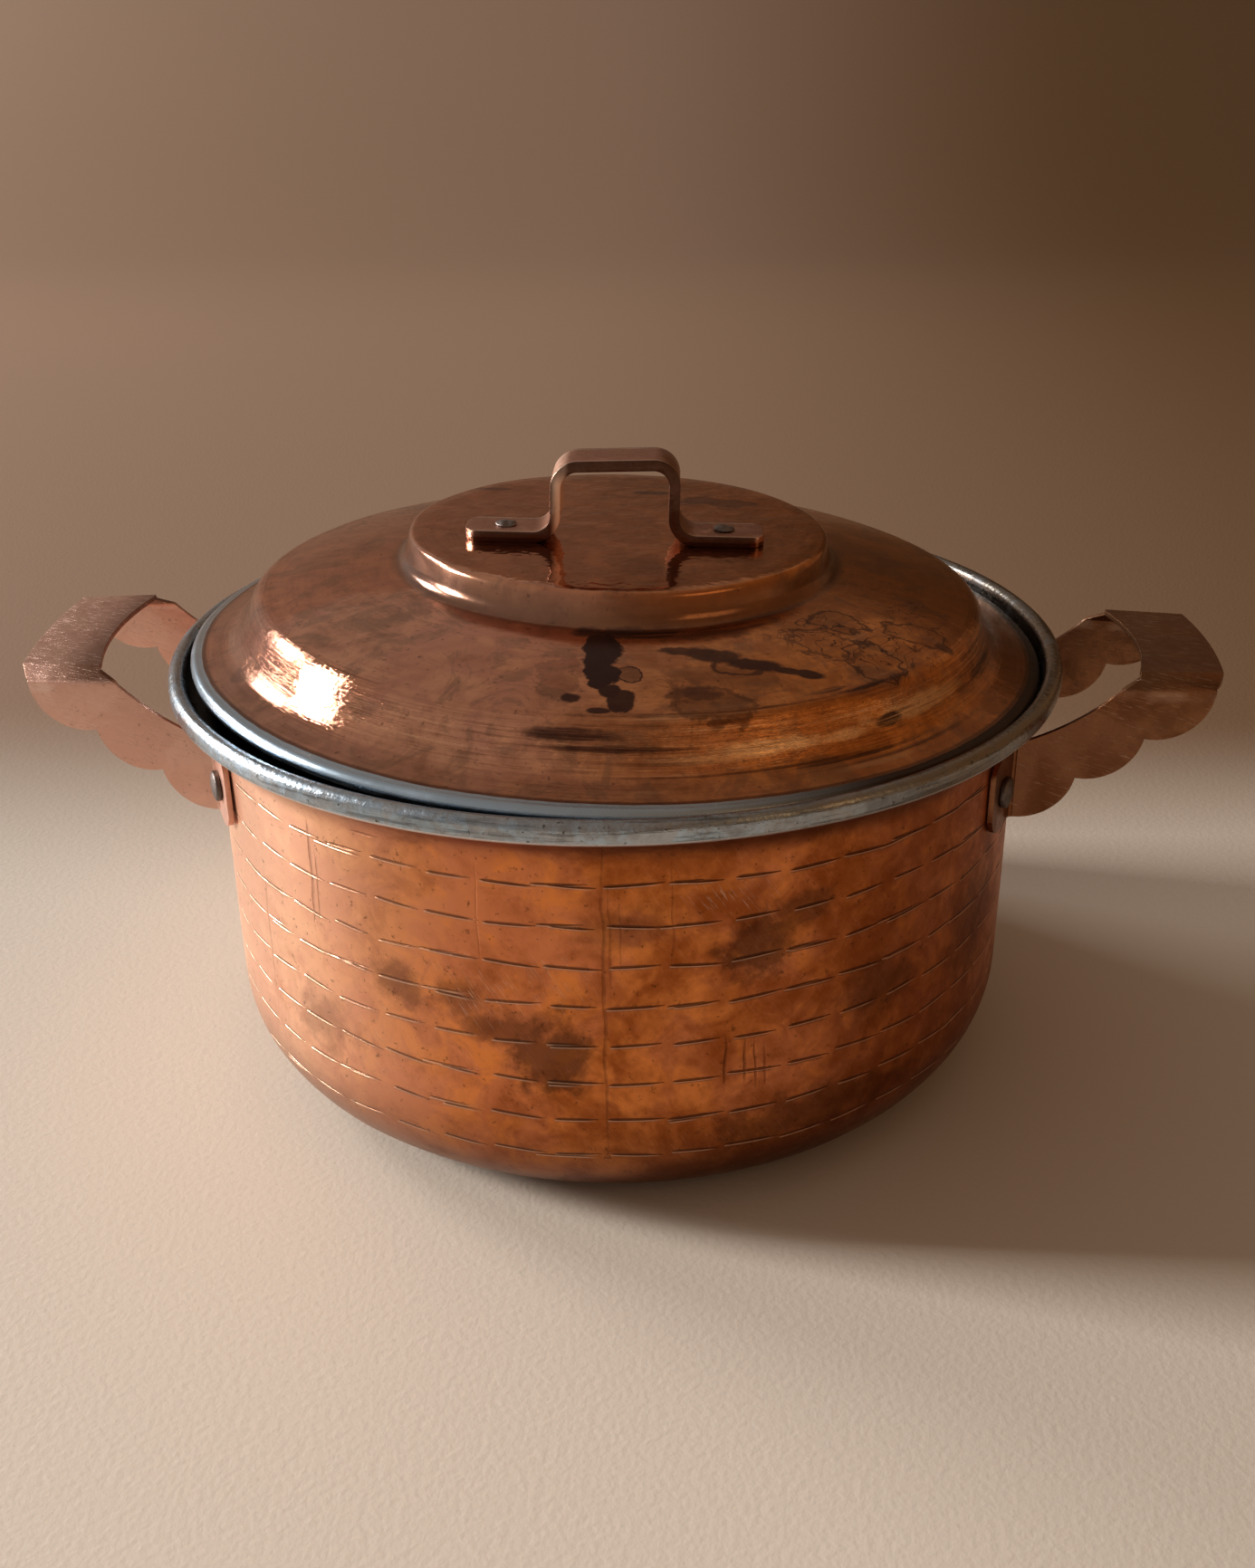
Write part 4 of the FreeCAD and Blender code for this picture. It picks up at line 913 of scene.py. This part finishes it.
# Tones at the left and at the right: pinker and paler at the left, more orange at the right, as painted
# reflection
LID_BRIGHT = ((0.74, 0.36, 0.22, 1), (0.95, 0.4, 0.11, 1))
LID_BLUSH = ((0.64, 0.3, 0.2, 1), (0.72, 0.28, 0.09, 1))
LID_BROWN = ((0.36, 0.15, 0.08, 1), (0.46, 0.17, 0.045, 1))
LID_SMOKE = (0.2, 0.12, 0.08, 1)
LID_PAINTED_SHEEN = (1.0, 0.66, 0.36, 1)
LID_GLINT = (1.0, 0.6, 0.34, 1)
LID_STREAK = (0.16, 0.055, 0.025, 1)
LID_BRIM = (0.14, 0.07, 0.045, 1)
LID_STEP = (0.16, 0.09, 0.065, 1)
LID_BEAD_SHADE = (0.035, 0.02, 0.014, 1)

lid_copper, tree, shader = new_material("burnished_lid_copper")
place = in_millimetres(tree, LID_MIDDLE, LID_TURN)
split = add_node(tree, "SeparateXYZ", {"Vector": place}).outputs
where = use_group(tree, round_about, {"Place": place})
# The lid's tone is painted from left to right as painted reflection.
rightward = fade(tree, split["X"], -50.0, 75.0)
tones = use_group(tree, tarnish, {
    "Place": place,
    "Bright": mixed(tree, rightward, *LID_BRIGHT),
    "Blush": mixed(tree, rightward, *LID_BLUSH),
    "Brown": mixed(tree, rightward, *LID_BROWN),
    "Dark": COPPER_DARK, "Cloud Size": 40.0, "Browning": fade(tree, split["X"], -60.0, 70.0, 0.42, 0.54),
    "Specks": 0.5})
edge_noise = grain(tree, place, 0.2, 3.0, 0.55)
filled, outlined = stains(tree, split["X"], split["Y"], edge_noise, LID_STAINS)
ringed, _ = stains(tree, where["Around"], where["Out"], edge_noise, LID_RING_STAINS)
sheen_patches, _ = stains(tree, where["Around"], where["Out"], edge_noise, LID_SHEEN_PATCHES)
veined, _ = stains(tree, split["X"], split["Y"], edge_noise, LID_VEINS)
curl = calculate(tree, "SUBTRACT", grain(tree, place, 0.13, 2.0, 0.5, 1.2), 0.5)
curl = calculate(tree, "ABSOLUTE", curl)
veins = calculate(tree, "MULTIPLY", fade(tree, curl, 0.006, 0.026, 0.85, 0.0), veined)
wheel = add_node(tree, "CombineXYZ", {
    "X": where["Out"],
    "Y": calculate(tree, "MULTIPLY", where["Around"], 0.05),
    "Z": where["Up"]}).outputs[0]
rings = grain(tree, wheel, 0.75, 5.0, 0.75)
patchy = fade(tree, grain(tree, place, 0.035, 3.0, 0.6, 0.6), 0.42, 0.58)
smoked = fade(tree, grain(tree, place, 0.06, 5.0, 0.7, 1.0), 0.5, 0.62, 0.0, 0.42)
on_shoulder = calculate(tree, "MULTIPLY", fade(tree, where["Out"], 98.0, 105.0),
                        fade(tree, where["Out"], 109.0, 114.0, 1.0, 0.35))
ring_mask = calculate(tree, "MULTIPLY", calculate(tree, "MAXIMUM", on_shoulder, 0.25),
                      calculate(tree, "ADD", calculate(tree, "MULTIPLY", patchy, 0.6), 0.4))
streaks = calculate(tree, "MULTIPLY", fade(tree, rings, 0.5, 0.62), ring_mask)
ring_stain = calculate(tree, "MULTIPLY", ringed, fade(tree, rings, 0.38, 0.56, 0.45, 1.0))
on_disc = fade(tree, where["Out"], 56.0, 60.0, 1.0, 0.0)
smoked = calculate(tree, "MULTIPLY", smoked, fade(tree, on_disc, 0.0, 1.0, 1.0, 0.45))
color = mixed(tree, smoked, tones["Color"], LID_SMOKE)
# The bright patches on the shoulder and the glints in the turning rings are painted highlights.
color = mixed(tree, calculate(tree, "MULTIPLY", sheen_patches, 0.85), color, LID_PAINTED_SHEEN)
glints = calculate(tree, "MULTIPLY", fade(tree, rings, 0.46, 0.36), ring_mask)
color = mixed(tree, calculate(tree, "MULTIPLY", glints, 0.5), color, LID_GLINT)
color = mixed(tree, calculate(tree, "MULTIPLY", streaks, 0.62), color, LID_STREAK)
marked = calculate(tree, "MAXIMUM", calculate(tree, "MAXIMUM", filled, outlined), ring_stain)
marked = calculate(tree, "MAXIMUM", marked, veins)
color = mixed(tree, marked, color, LID_STAIN_COLOR)
wipe = calculate(tree, "ADD", where["Out"], calculate(tree, "MULTIPLY", edge_noise, 0.5))
tinned = fade(tree, wipe, TIN_EDGE, TIN_EDGE + 0.2)
from_edge = calculate(tree, "ABSOLUTE", calculate(tree, "SUBTRACT", wipe, TIN_EDGE - 0.4))
color = mixed(tree, fade(tree, from_edge, 0.2, 1.0, 0.7, 0.0), color, COPPER_DARK)
on_brim = fade(tree, where["Out"], 110.0, 115.0, 0.0, 0.3)
color = mixed(tree, on_brim, color, LID_BRIM)
from_step = calculate(tree, "ABSOLUTE", calculate(tree, "SUBTRACT", where["Out"], STEP_RADIUS))
step_foot = fade(tree, from_step, 0.8, 3.6, 0.75, 0.0)
color = mixed(tree, step_foot, color, LID_STEP)
# The tinned edge is painted dark towards the right, as painted shade.
bead_shade = fade(tree, split["X"], 15.0, 75.0)
color = mixed(tree, tinned, color, mixed(tree, bead_shade, TIN_COLOR, LID_BEAD_SHADE))
feed(tree, shader.inputs["Base Color"], color)
polished = calculate(tree, "MAXIMUM", on_disc, on_shoulder)
rough = calculate(tree, "SUBTRACT", fade(tree, tones["Cloud"], 0.0, 1.0, 0.15, 0.24),
                  calculate(tree, "MULTIPLY", polished, 0.09))
dulled = calculate(tree, "MAXIMUM", marked, tinned)
rough = calculate(tree, "ADD", rough, calculate(tree, "MULTIPLY", dulled, 0.1))
feed(tree, shader.inputs["Roughness"], rough)
turned_up = calculate(tree, "ADD", rings, calculate(tree, "MULTIPLY", grain(tree, place, 0.22, 2.0), 0.35))
height = calculate(tree, "ADD", calculate(tree, "MULTIPLY", turned_up, on_shoulder),
                   calculate(tree, "MULTIPLY", grain(tree, place, 0.08, 1.0), 0.5))
wavy = calculate(tree, "MULTIPLY", grain(tree, place, 0.14, 2.0, 0.6),
                 calculate(tree, "ADD", on_disc, 0.35))
height = calculate(tree, "ADD", height, calculate(tree, "MULTIPLY", wavy, 0.8))
height = calculate(tree, "ADD", height, calculate(tree, "MULTIPLY", tones["Fine"], 0.06))
bumped(tree, shader, height, 0.3 * MM)

lid.data.materials.append(lid_copper)
lid.data.materials.append(tin)
upright_lid = lid_placed.inverted()
for face in lid.data.polygons:
    middle = (upright_lid @ face.center) / MM
    out = math.hypot(middle.x, middle.y)
    under_bead = out > BEAD_MIDDLE - LID_BEAD and middle.z < -0.6
    face.material_index = 1 if under_bead or face.normal.z < -0.3 else 0

# The strap on the lid is bent from one strip of thick copper: two feet, two upright legs and a top
# that rises a little to the right. It has gone brown, darkest along its edges. Their corners are painted
# bright, as wear and painted highlight, the left leg brighter as painted light, and the feet's bottom dark
# as painted contact shadow.

STRAP_MIDDLE = 10.6
STRAP_LEFT = -16.0
STRAP_RIGHT = 19.0
STRAP_RISE = 1.5
RISE_FROM = 38.0
RISE_REACH = 14.0
STRAP_EDGE = 1.15
STRAP_CORNER = 6.7
STRAP_BRIGHT = (0.56, 0.29, 0.2, 1)
STRAP_BLUSH = (0.52, 0.25, 0.17, 1)
STRAP_BROWN = (0.32, 0.15, 0.1, 1)
STRAP_SPECK = (0.08, 0.045, 0.03, 1)
STRAP_SIDE = (0.05, 0.024, 0.015, 1)
STRAP_FOOT_SHADE = (0.05, 0.022, 0.014, 1)
STRAP_SHINE = (0.95, 0.72, 0.56, 1)

strap = softened("lid_strap", "lid_handle", STRAP_EDGE, "lid")
for vertex in strap.data.vertices:
    spot = (upright_lid @ vertex.co) / MM
    share = min(max((spot.z - RISE_FROM) / RISE_REACH, 0.0), 1.0)
    leftward = min(max((STRAP_RIGHT - spot.x) / (STRAP_RIGHT - STRAP_LEFT), 0.0), 1.0)
    vertex.co.z -= share * share * (3 - 2 * share) * leftward * STRAP_RISE * MM

strap_copper, tree, shader = new_material("brown_strap_copper")
place = in_millimetres(tree, LID_MIDDLE, LID_TURN)
tones = use_group(tree, tarnish, {
    "Place": place, "Bright": STRAP_BRIGHT, "Blush": STRAP_BLUSH, "Brown": STRAP_BROWN,
    "Dark": STRAP_SPECK, "Cloud Size": 18.0, "Browning": 0.5, "Specks": 0.5})
split = add_node(tree, "SeparateXYZ", {"Vector": place}).outputs
off_line = calculate(tree, "ABSOLUTE", calculate(tree, "ADD", split["Y"], STRAP_MIDDLE))
browned = fade(tree, off_line, 6.8, 7.4, 0.0, 0.85)
# The edges' corners are painted bright, as wear and painted highlight.
from_corner = calculate(tree, "ABSOLUTE", calculate(tree, "SUBTRACT", off_line, STRAP_CORNER))
wear_and_sheen = fade(tree, from_corner, 0.1, 0.5, 0.5, 0.0)
# The left leg is painted brighter, as painted light, and made a little rougher.
lit_left_leg = calculate(tree, "MULTIPLY", fade(tree, split["X"], -15.2, -13.4, 1.0, 0.0),
                       fade(tree, split["X"], -19.0, -16.5))
lit_left_leg = calculate(tree, "MULTIPLY", lit_left_leg, fade(tree, split["Z"], 34.6, 36.4))
lit_left_leg = calculate(tree, "MULTIPLY", lit_left_leg, fade(tree, split["Z"], 50.0, 54.5, 1.0, 0.25))
color = mixed(tree, browned, tones["Color"], STRAP_SIDE)
# The lowest part of the feet is painted dark, as a painted contact shadow.
foot_contact_shade = fade(tree, split["Z"], 34.9, 35.3, 0.85, 0.0)
color = mixed(tree, foot_contact_shade, color, STRAP_FOOT_SHADE)
wear_and_sheen = calculate(tree, "MAXIMUM", wear_and_sheen, lit_left_leg)
feed(tree, shader.inputs["Base Color"], mixed(tree, wear_and_sheen, color, STRAP_SHINE))
rough = calculate(tree, "ADD", fade(tree, tones["Cloud"], 0.0, 1.0, 0.28, 0.4),
                  calculate(tree, "MULTIPLY", lit_left_leg, 0.25))
feed(tree, shader.inputs["Roughness"], rough)
bumped(tree, shader, grain(tree, place, 0.2, 3.0), 0.4 * MM)
strap.data.materials.append(strap_copper)

# Two small iron rivets go through the strap's feet and the lid's disc. Their heads are hammered
# nearly flat and came out uneven.

LID_RIVET_EDGE = 0.25
HEAD_DENTS = 2.2
HEAD_DENT_DEPTH = 0.5

for node in ("lid_left_rivet", "lid_right_rivet"):
    rivet = softened(f"{node}_head", node, LID_RIVET_EDGE, "lid")
    hammered(rivet, HEAD_DENTS, HEAD_DENT_DEPTH, upright=False)
    rivet.data.materials.append(rivet_iron)
